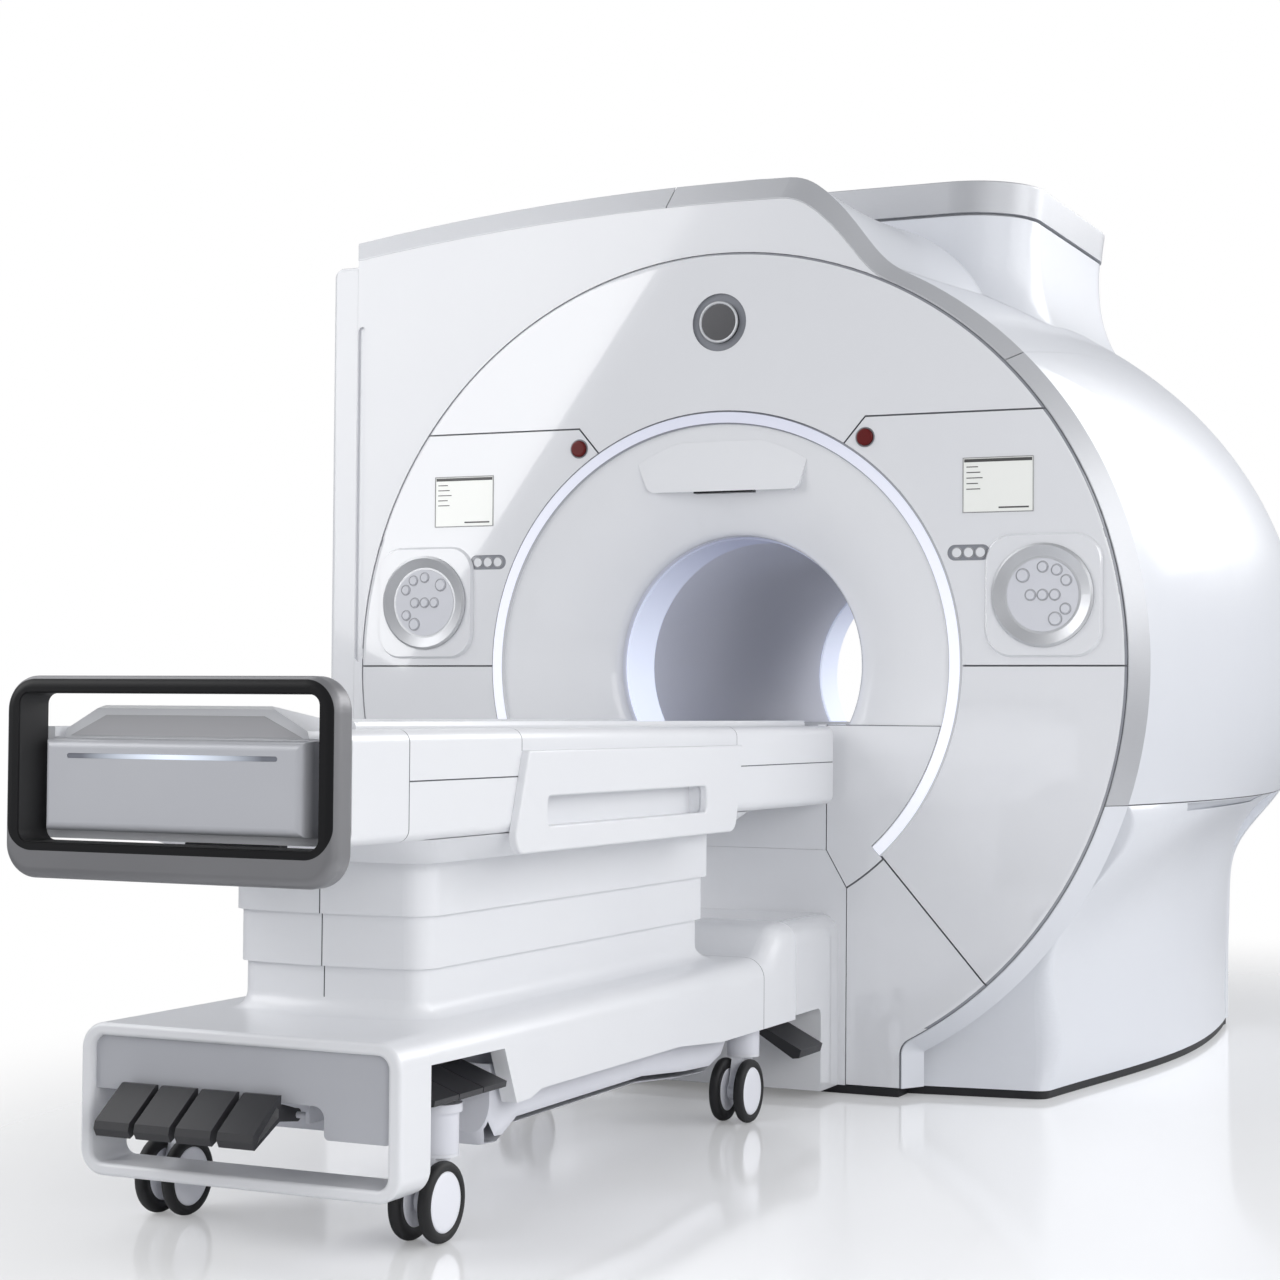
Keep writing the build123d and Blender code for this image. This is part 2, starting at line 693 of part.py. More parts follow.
# Bridge: a front plate, the beam through the bore and the two rails laid on it
with BuildPart() as bore_bridge:
    half = bridge_half_width - 2 * joint_gap
    with BuildSketch(facing(face_y)):
        with Locations((0, (dock_top + bridge_top) / 2)):
            Rectangle(2 * half, bridge_top - dock_top - 2 * joint_gap)
    extrude(amount=-panel_depth)
    with BuildSketch(facing(face_y)):
        with Locations((0, bridge_top)):
            Rectangle(2 * half, bridge_depth, align=(Align.CENTER, Align.MAX))
        with Locations((0, iso_height)):
            Circle(bore_radius - tube_seat, mode=Mode.INTERSECT)
    extrude(amount=-(bridge_rear_y - face_y))
    rail_place, rail_foot = half - rail_width / 2, bridge_top + joint_gap
    with BuildSketch(facing(face_y)):
        with Locations((rail_place, rail_foot), (-rail_place, rail_foot)):
            Rectangle(rail_width, ledge_height - rail_foot, align=(Align.CENTER, Align.MIN))
        with Locations((0, iso_height)):
            Circle(bore_radius - tube_seat, mode=Mode.INTERSECT)
    extrude(amount=-(bridge_rear_y - face_y))
save(bore_bridge, "bore_bridge")

# Apron plates with the shelf that closes the ledge behind them
with BuildPart() as bore_aprons:
    add(plates["bore_aprons"])
    for hand in (-1, 1):
        inner, outer = bridge_half_width + joint_gap, ring_inner_radius - 60
        back = face_y + panel_depth
        with BuildSketch(Plane.XY.offset(ledge_height - joint_gap)):
            with BuildLine():
                Polyline((hand * inner, back), (hand * outer, back), (hand * (outer - 40), back + 30),
                         (hand * vessel_bore * 0.93, shelf_rear_y), (hand * vessel_bore * 0.86, lip_y + 16),
                         (hand * inner, lip_y + 16), close=True)
            make_face()
        extrude(amount=-shelf_thickness)
save(bore_aprons, "bore_aprons")

# Housing that the table docks into, blended into the foot of the front
with BuildPart() as dock_housing:
    with Locations((0, dock_block_front, floor_gap)):
        Box(2 * dock_block_half, face_y + panel_depth / 2 - dock_block_front, dock_block_top - floor_gap,
            align=(Align.CENTER, Align.MIN, Align.MIN))
    fillet(dock_housing.edges().filter_by(Axis.Y).group_by(Axis.Z)[-1], dock_blend)
    with BuildSketch(facing(face_y)):
        with BuildLine():
            edge = dock_half_width - joint_gap
            Polyline((-edge, floor_gap), (edge, floor_gap), (edge, dock_corner[1] - joint_gap),
                     (bridge_half_width - joint_gap, dock_top - joint_gap),
                     (-bridge_half_width + joint_gap, dock_top - joint_gap),
                     (-edge, dock_corner[1] - joint_gap), close=True)
        make_face()
    extrude(amount=-panel_depth)
    with BuildSketch(Plane.YZ.offset(-2 * dock_block_half)):
        with BuildLine():
            Polyline((dock_block_front - 5, 0), (dock_arch_y, 0), (dock_arch_y, dock_arch_z),
                     (dock_block_front - 5, dock_arch_z), close=True)
        make_face()
        fillet(vertices().sort_by(Axis.X)[-2:].sort_by(Axis.Y)[-1], 22)
    extrude(amount=4 * dock_block_half, mode=Mode.SUBTRACT)
save(dock_housing, "dock_housing")


def barrel_radius(angle, bulge):
    """Outer radius of the side covers at an angle round the bore."""
    side = abs(cos(radians(angle)))
    power = 1.45 if sin(radians(angle)) >= 0 else 7
    return disc_radius + band_width + bulge * side ** power


def barrel_point(angle, bulge, inset=0):
    radius = barrel_radius(angle, bulge) - inset
    return radius * cos(radians(angle)), iso_height + radius * sin(radians(angle))


def seam_angle(bulge, height):
    """Angle on the right-hand side at which the barrel passes a height."""
    angle = 0
    for _ in range(12):
        angle = degrees(asin((height - iso_height) / barrel_radius(angle, bulge)))
    return angle


def barrel_strip(bulge, first, last):
    """One-wall-thick strip of the barrel between two angles."""
    angles = [first + (last - first) * i / barrel_steps for i in range(barrel_steps + 1)]
    with BuildSketch() as strip:
        with BuildLine():
            outer = Spline(*[barrel_point(a, bulge) for a in angles])
            inner = Spline(*[barrel_point(a, bulge, cover_wall) for a in reversed(angles)])
            Line(outer @ 1, inner @ 0)
            Line(inner @ 1, outer @ 0)
        make_face()
    return strip.sketch


barrel_sections = ((band_back_y + joint_gap, 0), (widest_y, side_bulge), (rear_y - joint_gap, rear_bulge))


def barrel_cap(first, last, rise):
    """Solid that fills the barrel between two angles and stands the rise proud of it."""
    angles = [first + (last - first) * i / barrel_steps for i in range(barrel_steps + 1)]
    with BuildPart() as cap:
        for y, bulge in barrel_sections:
            with BuildSketch(facing(y)):
                with BuildLine():
                    top = Spline(*[barrel_point(a, bulge, -rise) for a in angles])
                    Polyline(top @ 1, (0, iso_height), top @ 0)
                make_face()
        loft()
    return cap.part


def cover_between(first_angle, last_angle):
    """Solids of one cover, between two seams given as angle(bulge)."""
    with BuildPart() as cover:
        for y, bulge in barrel_sections:
            with BuildSketch(facing(y)):
                add(barrel_strip(bulge, first_angle(bulge), last_angle(bulge)))
        loft()
    return cover.part


right_cover = cover_between(lambda b: seam_angle(b, seam_height + joint_gap),
                            lambda b: right_seam_angle - 0.02)
left_cover = cover_between(lambda b: crown_end_angle + 0.02,
                           lambda b: 180 - seam_angle(b, seam_height + joint_gap))
crown_ends = (right_seam_angle + 0.02, crown_end_angle - 0.02)
crown_cover = cover_between(lambda b: crown_ends[0], lambda b: crown_ends[1])

with BuildPart() as side_cover_right:
    add(right_cover)
save(side_cover_right, "side_cover_right")

with BuildPart() as side_cover_left:
    add(left_cover)
save(side_cover_left, "side_cover_left")


def seam_x(y_bulge):
    angle = seam_angle(y_bulge, seam_height - joint_gap)
    return barrel_radius(angle, y_bulge) * cos(radians(angle))


def bulge_at(y):
    """Bulge of the barrel at a depth, through its three sections."""
    (y0, b0), (y1, b1), (y2, b2) = barrel_sections
    return (b0 * (y - y1) * (y - y2) / ((y0 - y1) * (y0 - y2))
            + b1 * (y - y0) * (y - y2) / ((y1 - y0) * (y1 - y2))
            + b2 * (y - y0) * (y - y1) / ((y2 - y0) * (y2 - y1)))


def skirt_line(level, inset):
    """Line of the right-hand skirt at one of its heights, moved inwards by the inset."""
    facet_x, fold, radius, sides = skirt_levels[level]
    start = Vector(facet_x, band_back_y + joint_gap + 0.9 * inset)
    corner = Vector(fold[0] - inset, fold[1] + 0.9 * inset)
    rear = [Vector(x - inset, y) for x, y in zip(sides, skirt_depths)]
    before = corner + (start - corner).normalized() * radius
    after = corner + (rear[0] - corner).normalized() * radius
    with BuildLine() as line:
        Line(start, before)
        Bezier(before, corner, after)
        Spline(after, *rear)
    return line.line


seam_fold = (sqrt((disc_radius + band_width) ** 2 - (iso_height - seam_height) ** 2) - 2, band_back_y + 1)
skirt_levels = [
    *zip(skirt_facet_x, skirt_folds, skirt_fold_radii, skirt_side_x),
    (seam_fold[0] - 20, seam_fold, 4, tuple(seam_x(bulge_at(y)) for y in skirt_depths)),
]
with BuildPart() as right_skirt:
    for level, height in enumerate((*skirt_heights, seam_height - joint_gap)):
        outer, inner = skirt_line(level, 0), skirt_line(level, cover_wall)
        with BuildSketch(Plane.XY.offset(height)):
            with BuildLine():
                add(outer)
                Line(outer @ 1, inner @ 1)
                add(inner)
                Line(inner @ 0, outer @ 0)
            make_face()
    loft()
with BuildPart() as skirt_grip:
    with Locations((seam_fold[0], sum(skirt_grip_ends) / 2, skirt_grip_height[0])):
        Box(4 * side_bulge, skirt_grip_ends[1] - skirt_grip_ends[0],
            skirt_grip_height[1] - skirt_grip_height[0], align=(Align.CENTER, Align.CENTER, Align.MIN))
    add(right_skirt.part.moved(Location((-skirt_grip_depth, 0, 0))), mode=Mode.SUBTRACT)
right_skirt_cover = right_skirt.part - skirt_grip.part
lower_rim = rim_wedge.part & extrude(
    facing(face_y) * polygon([(dock_half_width, floor_gap), (3 * disc_radius, floor_gap),
                              (3 * disc_radius, seam_height - joint_gap),
                              (dock_half_width, seam_height - joint_gap)]),
    -cut_depth)
with BuildPart() as skirt_covers:
    add(right_skirt_cover)
    add(lower_rim)
    add(mirror(right_skirt_cover, Plane.YZ))
save(skirt_covers, "skirt_covers")

# Rear cover and its funnel
rear_steps = 7
with BuildSketch() as rear_outline:
    with BuildLine():
        leg = [(sides[-1], height) for sides, height in zip(skirt_side_x, skirt_heights)]
        start_angle = seam_angle(rear_bulge, seam_height)
        angles = [start_angle + (90 - start_angle) * i / rear_steps for i in range(rear_steps + 1)]
        side = Spline(*leg, *[barrel_point(a, rear_bulge) for a in angles], tangents=((0, 1), (-1, 0)))
        mirror(side, Plane.YZ)
        Line(leg[0], (-leg[0][0], leg[0][1]))
    make_face()
with BuildPart() as rear_cover:
    with BuildSketch(facing(rear_y + rear_depth)):
        add(rear_outline.sketch)
    extrude(amount=rear_depth)
    with BuildSketch(facing(rear_y + rear_depth)):
        with Locations((0, iso_height)):
            Circle(rear_mouth_radius)
    extrude(amount=rear_depth, mode=Mode.SUBTRACT)
save(rear_cover, "rear_cover")

with BuildPart() as rear_funnel:
    with BuildSketch(Plane.XY.offset(iso_height)):
        with BuildLine():
            edge, end = rear_mouth_radius - joint_gap, rear_y + rear_depth - funnel_edge
            front = Spline((bore_radius, tube_rear + joint_gap), (edge, end), tangents=((0, 1), (1, 0.3)))
            back = Spline((bore_radius + funnel_wall, tube_rear + joint_gap), (edge, end - funnel_wall),
                          tangents=((0, 1), (1, 0.3)))
            Line(front @ 1, back @ 1)
            Line(back @ 0, front @ 0)
        make_face()
    revolve(axis=bore_axis)
save(rear_funnel, "rear_funnel")

# Superconducting magnet vessel on its two feet, with the coil inside it
with BuildPart() as magnet_vessel:
    with BuildSketch(facing(vessel_middle - vessel_half_length)):
        with Locations((0, iso_height)):
            Circle(vessel_radius)
    extrude(amount=-2 * vessel_half_length)
    fillet(magnet_vessel.edges().filter_by(GeomType.CIRCLE), 40)
    with Locations((0, vessel_middle + foot_block_y, floor_gap + joint_gap),
                   (0, vessel_middle - foot_block_y, floor_gap + joint_gap)):
        Box(1.3 * vessel_radius, 160, 0.4 * vessel_radius, align=(Align.CENTER, Align.CENTER, Align.MIN))
    with BuildSketch(facing(vessel_middle - vessel_half_length)):
        with Locations((0, iso_height)):
            Circle(vessel_bore)
    extrude(amount=-2 * vessel_half_length, mode=Mode.SUBTRACT)
save(magnet_vessel, "magnet_vessel")

with BuildPart() as gradient_coil:
    with BuildSketch(facing(vessel_middle - coil_half_length)):
        with Locations((0, iso_height)):
            Circle(vessel_bore - tube_seat)
            Circle(bore_radius + bore_wall + tube_seat, mode=Mode.SUBTRACT)
    extrude(amount=-2 * coil_half_length)
save(gradient_coil, "gradient_coil")

# Black base frame that the covers stand on
with BuildSketch(Plane.XY) as base_outline:
    with BuildLine():
        right = skirt_line(0, plinth_inset)
        add(right)
        left = mirror(right, Plane.YZ)
        Line(right @ 1, (-(right @ 1).X, (right @ 1).Y))
        Line(right @ 0, (-(right @ 0).X, (right @ 0).Y))
    make_face()
    with Locations((shell_left_x + plinth_inset, shell_face_y + plinth_inset)):
        Rectangle(dock_half_width - shell_left_x, panel_depth + 40, align=(Align.MIN, Align.MIN))
    with Locations((0, face_y + plinth_inset)):
        Rectangle(2 * (foot_half_width - plinth_inset), 90, align=(Align.CENTER, Align.MIN))
    with Locations((0, rear_y - 5)):
        Rectangle(2 * (skirt_side_x[0][-1] - plinth_inset), rear_depth, align=(Align.CENTER, Align.MIN))
    with Locations((shell_left_x + plinth_inset, shell_face_y + plinth_inset)):
        Rectangle(column_seam_x - shell_left_x, shell_depth - 2 * plinth_inset, align=(Align.MIN, Align.MIN))
with BuildPart() as plinth:
    with BuildSketch(Plane.XY):
        add(base_outline.sketch)
    extrude(amount=floor_gap - joint_gap)
save(plinth, "plinth")

# Turret: a tower that flares into the barrel, and a saddle that runs forward to the band
tower_head = turret_top - rim_height - rim_gap
tower_flares = ((0.1, 165), (0.35, 42), (0.62, 6), (1, 0))
turret_centre = ((turret_left + turret_right) / 2, (turret_front + turret_rear) / 2)
turret_size = (turret_right - turret_left, turret_rear - turret_front)
crown_back = crown_path(band_rise, disc_radius + band_width - saddle_sink, turret_left)
saddle_foot = barrel_point(merge_angle, bulge_at(saddle_rear_y), saddle_sink)
saddle_lines = (
    (band_back_y + joint_gap, [tuple(crown_back @ t)[:2] for t in (0, 0.45, 0.6, 0.75, 0.88, 1)]),
    (saddle_rear_y, [(turret_left, tower_head - 5), (100, tower_head - 5), (330, tower_head - 25),
                     (450, tower_head - 79), (530, tower_head - 151), saddle_foot]),
)
saddle_shapes = []
for y, line in saddle_lines:
    with BuildSketch(facing(y)) as saddle_shape:
        with BuildLine():
            top = Spline(*line)
            Polyline(top @ 1, (0.96 * line[-1][0], line[-1][1] - 60), (turret_left, line[-1][1] - 60), top @ 0)
        make_face()
    saddle_shapes.append(saddle_shape.sketch)
with BuildPart() as saddle:
    loft(saddle_shapes)
    extrude(saddle_shapes[1], amount=-(saddle_inner_y - saddle_rear_y))
with BuildPart() as tower:
    for share, flare in tower_flares:
        with BuildSketch(Plane.XY.offset(turret_foot + share * (tower_head - turret_foot))):
            with Locations(turret_centre):
                RectangleRounded(turret_size[0] + 2 * flare, turret_size[1] + 2 * flare,
                                 turret_corner + 0.5 * flare)
    loft()
    add(saddle.part)
    add(barrel_cap(*crown_ends, joint_gap), mode=Mode.SUBTRACT)
    with BuildSketch(facing(face_y)):
        add(polygon([(0, iso_height), on_circle(3 * disc_radius, crown_ends[0]),
                     on_circle(3 * disc_radius, crown_ends[1])]))
    extrude(amount=2 * face_y, mode=Mode.INTERSECT)
with BuildPart() as turret_cover:
    add(tower.solids().sort_by(SortBy.VOLUME)[-1])
    add(crown_cover)
save(turret_cover, "turret_cover")

# Metal rim over a dark groove, with the spigot that seats it on the tower
with BuildPart() as turret_rim:
    with BuildSketch(Plane.XY.offset(tower_head + joint_gap)):
        with Locations(turret_centre):
            RectangleRounded(turret_size[0] - 4 * rim_overhang, turret_size[1] - 4 * rim_overhang,
                             turret_corner - 2 * rim_overhang)
    extrude(amount=rim_gap + 1)
    with BuildSketch(Plane.XY.offset(tower_head + rim_gap)):
        with Locations(turret_centre):
            RectangleRounded(turret_size[0] + rim_overhang, turret_size[1] + rim_overhang,
                             turret_corner + rim_overhang / 2)
    with BuildSketch(Plane.XY.offset(turret_top)):
        with Locations(turret_centre):
            RectangleRounded(turret_size[0] + 3 * rim_overhang, turret_size[1] + 3 * rim_overhang,
                             turret_corner + 1.5 * rim_overhang)
    loft()
    fillet(turret_rim.edges().group_by(Axis.Z)[-1], 5)
save(turret_rim, "turret_rim")


def across(half_width):
    """Plane from which a side view runs right across the table."""
    return Plane.YZ.offset(-half_width)


def tier(inset):
    """Plan of the lift column, moved inwards by the inset."""
    with BuildSketch() as plan:
        with BuildLine():
            bow_end = tier_front + tier_bow
            ThreePointArc((-tier_half, bow_end), (0, tier_front), (tier_half, bow_end))
            Polyline((tier_half, bow_end), (tier_half, tier_rear), (-tier_half, tier_rear),
                     (-tier_half, bow_end))
        make_face()
        fillet(plan.vertices().group_by(Axis.Y)[0], tier_corner)
        if inset:
            offset(amount=-inset)
    return plan.sketch


def tier_seam(inset, bottom, top):
    """Fine seam down the middle of a column front."""
    with BuildPart() as seam:
        with Locations((0, tier_front + inset, bottom)):
            Box(groove_width, 2 * seam_depth, top - bottom, align=(Align.CENTER, Align.CENTER, Align.MIN))
    return seam.part


# Covers of the table base: the long cover with the lowest tier of the column on it,
# and the block that rises towards the magnet
with BuildPart() as base_cavity:
    with BuildSketch(across(base_half - cover_skin)):
        add(polygon([(base_front - 1, 0), (base_front - 1, base_top - cover_skin),
                       (base_rear + 1, base_top - cover_skin), (base_rear + 1, 0)]))
    extrude(amount=2 * (base_half - cover_skin))
    fillet(base_cavity.edges().filter_by(Axis.Y).group_by(Axis.Z)[-1], base_edge - cover_skin)
with BuildPart() as base_cover:
    with BuildSketch(across(base_half)):
        add(polygon([(base_front, arch_top), (base_front, base_top), (base_rear - joint_gap, base_top),
                       (base_rear - joint_gap, side_bottom), *arch_line]))
    extrude(amount=2 * base_half)
    fillet(base_cover.edges().filter_by(Axis.Y).group_by(Axis.Z)[-1], base_edge)
    with BuildSketch(Plane.XY.offset(base_top - cover_skin)):
        add(tier(2 * tier_step))
    extrude(amount=tier_tops[2] - base_top + cover_skin)
    foot_edges = base_cover.edges().filter_by_position(Axis.Z, base_top - 0.1, base_top + 0.1)
    fillet(foot_edges.filter_by_position(Axis.X, -tier_half, tier_half).filter_by_position(
        Axis.Y, tier_front, tier_rear), tier_foot_blend)
    add(base_cavity.part, mode=Mode.SUBTRACT)
    with BuildSketch(Plane.XY.offset(base_top - 3 * cover_skin)):
        add(tier(2 * tier_step + cover_skin))
    extrude(amount=tier_tops[2], mode=Mode.SUBTRACT)
    add(tier_seam(2 * tier_step, base_top + tier_foot_blend, tier_tops[2] + 1), mode=Mode.SUBTRACT)
    (foot_y, foot_z), (head_y, head_z) = arch_line[-2:]
    for hand in (-1, 1):
        with BuildSketch(Plane.YZ.offset(hand * (base_half - cover_skin - arch_flange))):
            add(polygon([(foot_y, foot_z), (head_y, head_z), (head_y + cover_skin, head_z),
                           (foot_y + cover_skin, foot_z)]))
        extrude(amount=hand * (arch_flange + 1))
with BuildPart() as block_cavity:
    with BuildSketch(across(base_half - cover_skin)):
        with BuildLine():
            roof = Spline((base_rear - 1, base_top - cover_skin), (block_crest_y, block_crest - cover_skin),
                          (block_end - cover_skin, dock_block_top - cover_skin), tangents=((1, 0), (1, 0)))
            Polyline(roof @ 1, (block_end - cover_skin, 0), (base_rear - 1, 0), roof @ 0)
        make_face()
    extrude(amount=2 * (base_half - cover_skin))
    roof_edges = block_cavity.faces().sort_by(Axis.Z)[-1].edges().group_by(Axis.X)
    fillet(roof_edges[0] + roof_edges[-1], base_edge - cover_skin)
with BuildPart() as rear_block:
    with BuildSketch(across(base_half)):
        with BuildLine():
            roof = Spline((base_rear, base_top), (block_crest_y, block_crest), (block_end, dock_block_top),
                          tangents=((1, 0), (1, 0)))
            Polyline(roof @ 1, (block_end, side_bottom), (base_rear, side_bottom), roof @ 0)
        make_face()
    extrude(amount=2 * base_half)
    roof_edges = rear_block.faces().sort_by(Axis.Z)[-1].edges().group_by(Axis.X)
    fillet(roof_edges[0] + roof_edges[-1], base_edge)
    add(block_cavity.part, mode=Mode.SUBTRACT)
with BuildPart() as base_covers:
    add(base_cover.part)
    add(rear_block.part)
save(base_covers, "base_covers")

# Frame round the pedals at the foot end, and the grey panel let into it
with BuildPart() as base_bezel:
    with BuildSketch(facing(bezel_front)) as ring_shape:
        with Locations((0, (bezel_bottom + base_top) / 2)):
            RectangleRounded(2 * base_half, base_top - bezel_bottom, base_edge)
        with Locations((0, (bezel_low + bezel_high) / 2)):
            RectangleRounded(2 * bezel_opening, bezel_high - bezel_low, bezel_corner, mode=Mode.SUBTRACT)
    extrude(amount=-(base_front - joint_gap - bezel_front))
    fillet(base_bezel.faces().group_by(Axis.Y)[0].edges(), 8)
save(base_bezel, "base_bezel")

with BuildPart() as bezel_panel:
    edge = bezel_opening - joint_gap
    top = bezel_high - joint_gap
    with BuildSketch(facing(panel_front)) as panel_shape:
        add(polygon([(-edge, strip_bottom), (-edge, top), (edge, top), (edge, panel_bottom),
                     (panel_step, panel_bottom), (panel_step, strip_bottom)]))
        fillet(panel_shape.vertices().group_by(Axis.Y)[-1], bezel_corner - joint_gap)
        fillet(panel_shape.vertices().group_by(Axis.Y)[0], 10)
        fillet(panel_shape.vertices().filter_by_position(Axis.X, panel_step - 1, panel_step + 1)
               .filter_by_position(Axis.Y, strip_bottom - 1, strip_bottom + 1), 22)
    extrude(amount=-panel_skin)
save(bezel_panel, "bezel_panel")

# Chassis: rails, lift sleeve, drip pan, caster sockets and pedal shafts
caster_places = [(hand * caster_x, y) for y in caster_y for hand in (-1, 1)]
pan_ends = (pan_line[0][0] + pan_skin, pan_line[-1][0] - pan_skin)
pan_floor = [(min(max(y, pan_ends[0]), pan_ends[1]), z + pan_skin) for y, z in pan_line]
with BuildPart() as pan_space:
    with BuildSketch(across(pan_half - pan_skin)):
        add(polygon([*pan_floor, (pan_ends[1], base_top), (pan_ends[0], base_top)]))
    extrude(amount=2 * (pan_half - pan_skin))
with BuildPart() as chassis:
    with BuildSketch(across(pan_half)):
        add(polygon([*pan_line, (pan_line[-1][0], pan_top), (pan_line[0][0], pan_top)]))
    extrude(amount=2 * pan_half)
    pan_edges = chassis.edges().filter_by_position(Axis.Z, 0, side_bottom)
    fillet(pan_edges.group_by(Axis.X)[0] + pan_edges.group_by(Axis.X)[-1], pan_edge)
    add(pan_space.part, mode=Mode.SUBTRACT)
    rail_top = base_top - cover_skin - joint_gap
    for hand in (-1, 1):
        with Locations((hand * rail_x, base_front + joint_gap, rail_top)):
            Box(rail_size, block_end - cover_skin - 2 - base_front, rail_size,
                align=(Align.CENTER, Align.MIN, Align.MAX))
    for y in cross_beams:
        with Locations((0, y, rail_top)):
            Box(2 * pan_half - 2 * pan_skin, 20, rail_size, align=(Align.CENTER, Align.CENTER, Align.MAX))
    for y in pan_ribs:
        with Locations((0, y, rail_top)):
            Box(2 * pan_half - 2, 10, rail_top - 200, align=(Align.CENTER, Align.CENTER, Align.MAX))
    for x, y in caster_places:
        inner = rail_x * (1 if x > 0 else -1)
        with Locations((inner, y, rail_top)):
            Box(rail_size, 90, rail_top - socket_bottom, align=(Align.CENTER, Align.CENTER, Align.MAX))
        with Locations(((x + inner) / 2, y, socket_bottom)):
            Box(abs(x - inner), 70, socket_top - socket_bottom, align=(Align.CENTER, Align.CENTER, Align.MIN))
        with Locations((x, y, socket_bottom)):
            Cylinder(socket_radius, socket_top - socket_bottom, align=(Align.CENTER, Align.CENTER, Align.MIN))
            Cylinder(stem_radius, socket_bottom - stem_bottom, align=(Align.CENTER, Align.CENTER, Align.MAX))
            Cylinder(pin_radius + fit_gap, socket_bottom - stem_bottom, mode=Mode.SUBTRACT,
                     align=(Align.CENTER, Align.CENTER, Align.MAX))
    with BuildSketch(Plane.XY.offset(rail_top - rail_size)):
        with Locations((0, mast_y)):
            Rectangle(2 * (mast_half + sleeve_wall), mast_length + 2 * sleeve_wall)
    extrude(amount=tier_tops[2] - 5 - rail_top + rail_size)
    with Locations((0, mast_y, pan_top)):
        Box(2 * (mast_half + fit_gap), mast_length + 2 * fit_gap, tier_tops[2], mode=Mode.SUBTRACT,
            align=(Align.CENTER, Align.CENTER, Align.MIN))
    for x in front_shaft_ends:
        with Locations((x, front_pivot[0] - 14, front_pivot[1] - 12)):
            Box(8, base_front + 20 - front_pivot[0] + 14, bezel_high - 2 - front_pivot[1] + 12,
                align=(Align.CENTER, Align.MIN, Align.MIN))
        with Locations((x, base_front + 1, bezel_high - 20)):
            Box(8, 18, rail_top - bezel_high + 20, align=(Align.CENTER, Align.MIN, Align.MIN))
    with BuildSketch(Plane.YZ.offset(front_shaft_ends[0])):
        with Locations(front_pivot):
            Circle(shaft_radius)
    extrude(amount=front_shaft_ends[1] - front_shaft_ends[0])
    for y in side_shaft_ends:
        with Locations((rail_x, y, rail_top)):
            Box(side_pivot[0] + 12 - rail_x, 6, rail_top - side_pivot[1] + 12,
                align=(Align.MIN, Align.CENTER, Align.MAX))
    with BuildSketch(facing(side_shaft_ends[0])):
        with Locations(side_pivot):
            Circle(shaft_radius)
    extrude(amount=-(side_shaft_ends[1] - side_shaft_ends[0]))
    with Locations((rail_x, dock_shaft_ends[0], rail_top)):
        Box(rail_size, dock_bracket, rail_top - dock_pivot[1] + 16, align=(Align.CENTER, Align.MIN, Align.MAX))
    with Locations((rail_x, dock_shaft_ends[0], dock_pivot[1] - 16)):
        Box(dock_pivot[0] + 10 - rail_x, dock_bracket, 32, align=(Align.MIN, Align.MIN, Align.MIN))
    with BuildSketch(facing(dock_shaft_ends[0])):
        with Locations(dock_pivot):
            Circle(shaft_radius)
    extrude(amount=-(dock_shaft_ends[1] - dock_shaft_ends[0]))
save(chassis, "chassis")

# Two telescoping shells of the lift column; the upper one carries the table top
with BuildPart() as middle_shell:
    with BuildSketch(Plane.XY.offset(tier_bottoms[1])):
        add(tier(tier_step))
        add(tier(2 * tier_step - tier_gap), mode=Mode.SUBTRACT)
    extrude(amount=tier_tops[1] - tier_bottoms[1])
    add(tier_seam(tier_step, tier_bottoms[1] - 1, tier_tops[1] + 1), mode=Mode.SUBTRACT)
save(middle_shell, "middle_shell")

with BuildPart() as upper_shell:
    with BuildSketch(Plane.XY.offset(pan_lip_z)):
        with Locations((0, (pan_lip_front + pan_lip_rear) / 2)):
            RectangleRounded(2 * pan_lip_half, pan_lip_rear - pan_lip_front, 60)
    with BuildSketch(Plane.XY.offset(deck_bottom - joint_gap)):
        with Locations((0, (under_front + under_rear) / 2)):
            RectangleRounded(2 * under_half, under_rear - under_front, 90)
    loft()
    with BuildSketch(Plane.XY.offset(tier_bottoms[0])):
        add(tier(0))
    extrude(amount=pan_lip_z + 2 - tier_bottoms[0])
    with BuildSketch(Plane.XY.offset(tier_bottoms[0])):
        add(tier(tier_step - tier_gap))
    extrude(amount=tier_tops[0] - tier_bottoms[0], mode=Mode.SUBTRACT)
    add(tier_seam(0, tier_bottoms[0] - 1, pan_lip_z), mode=Mode.SUBTRACT)
    with Locations((0, (deck_front + deck_rear) / 2, deck_bottom - 1)):
        Box(2 * (deck_cavity - joint_gap), deck_rear - deck_front - 2 * (deck_wall + joint_gap), 15,
            align=(Align.CENTER, Align.CENTER, Align.MIN))
    for hand in (-1, 1):
        with Locations((hand * beam_x, (deck_front + deck_rear) / 2, deck_bottom)):
            Box(40, deck_rear - deck_front - 4 * deck_wall, deck_ceiling - joint_gap - deck_bottom,
                align=(Align.CENTER, Align.CENTER, Align.MIN))
    with Locations((0, mast_y, mast_bottom)):
        Box(2 * mast_half, mast_length, deck_bottom - mast_bottom, align=(Align.CENTER, Align.CENTER, Align.MIN))
save(upper_shell, "upper_shell")

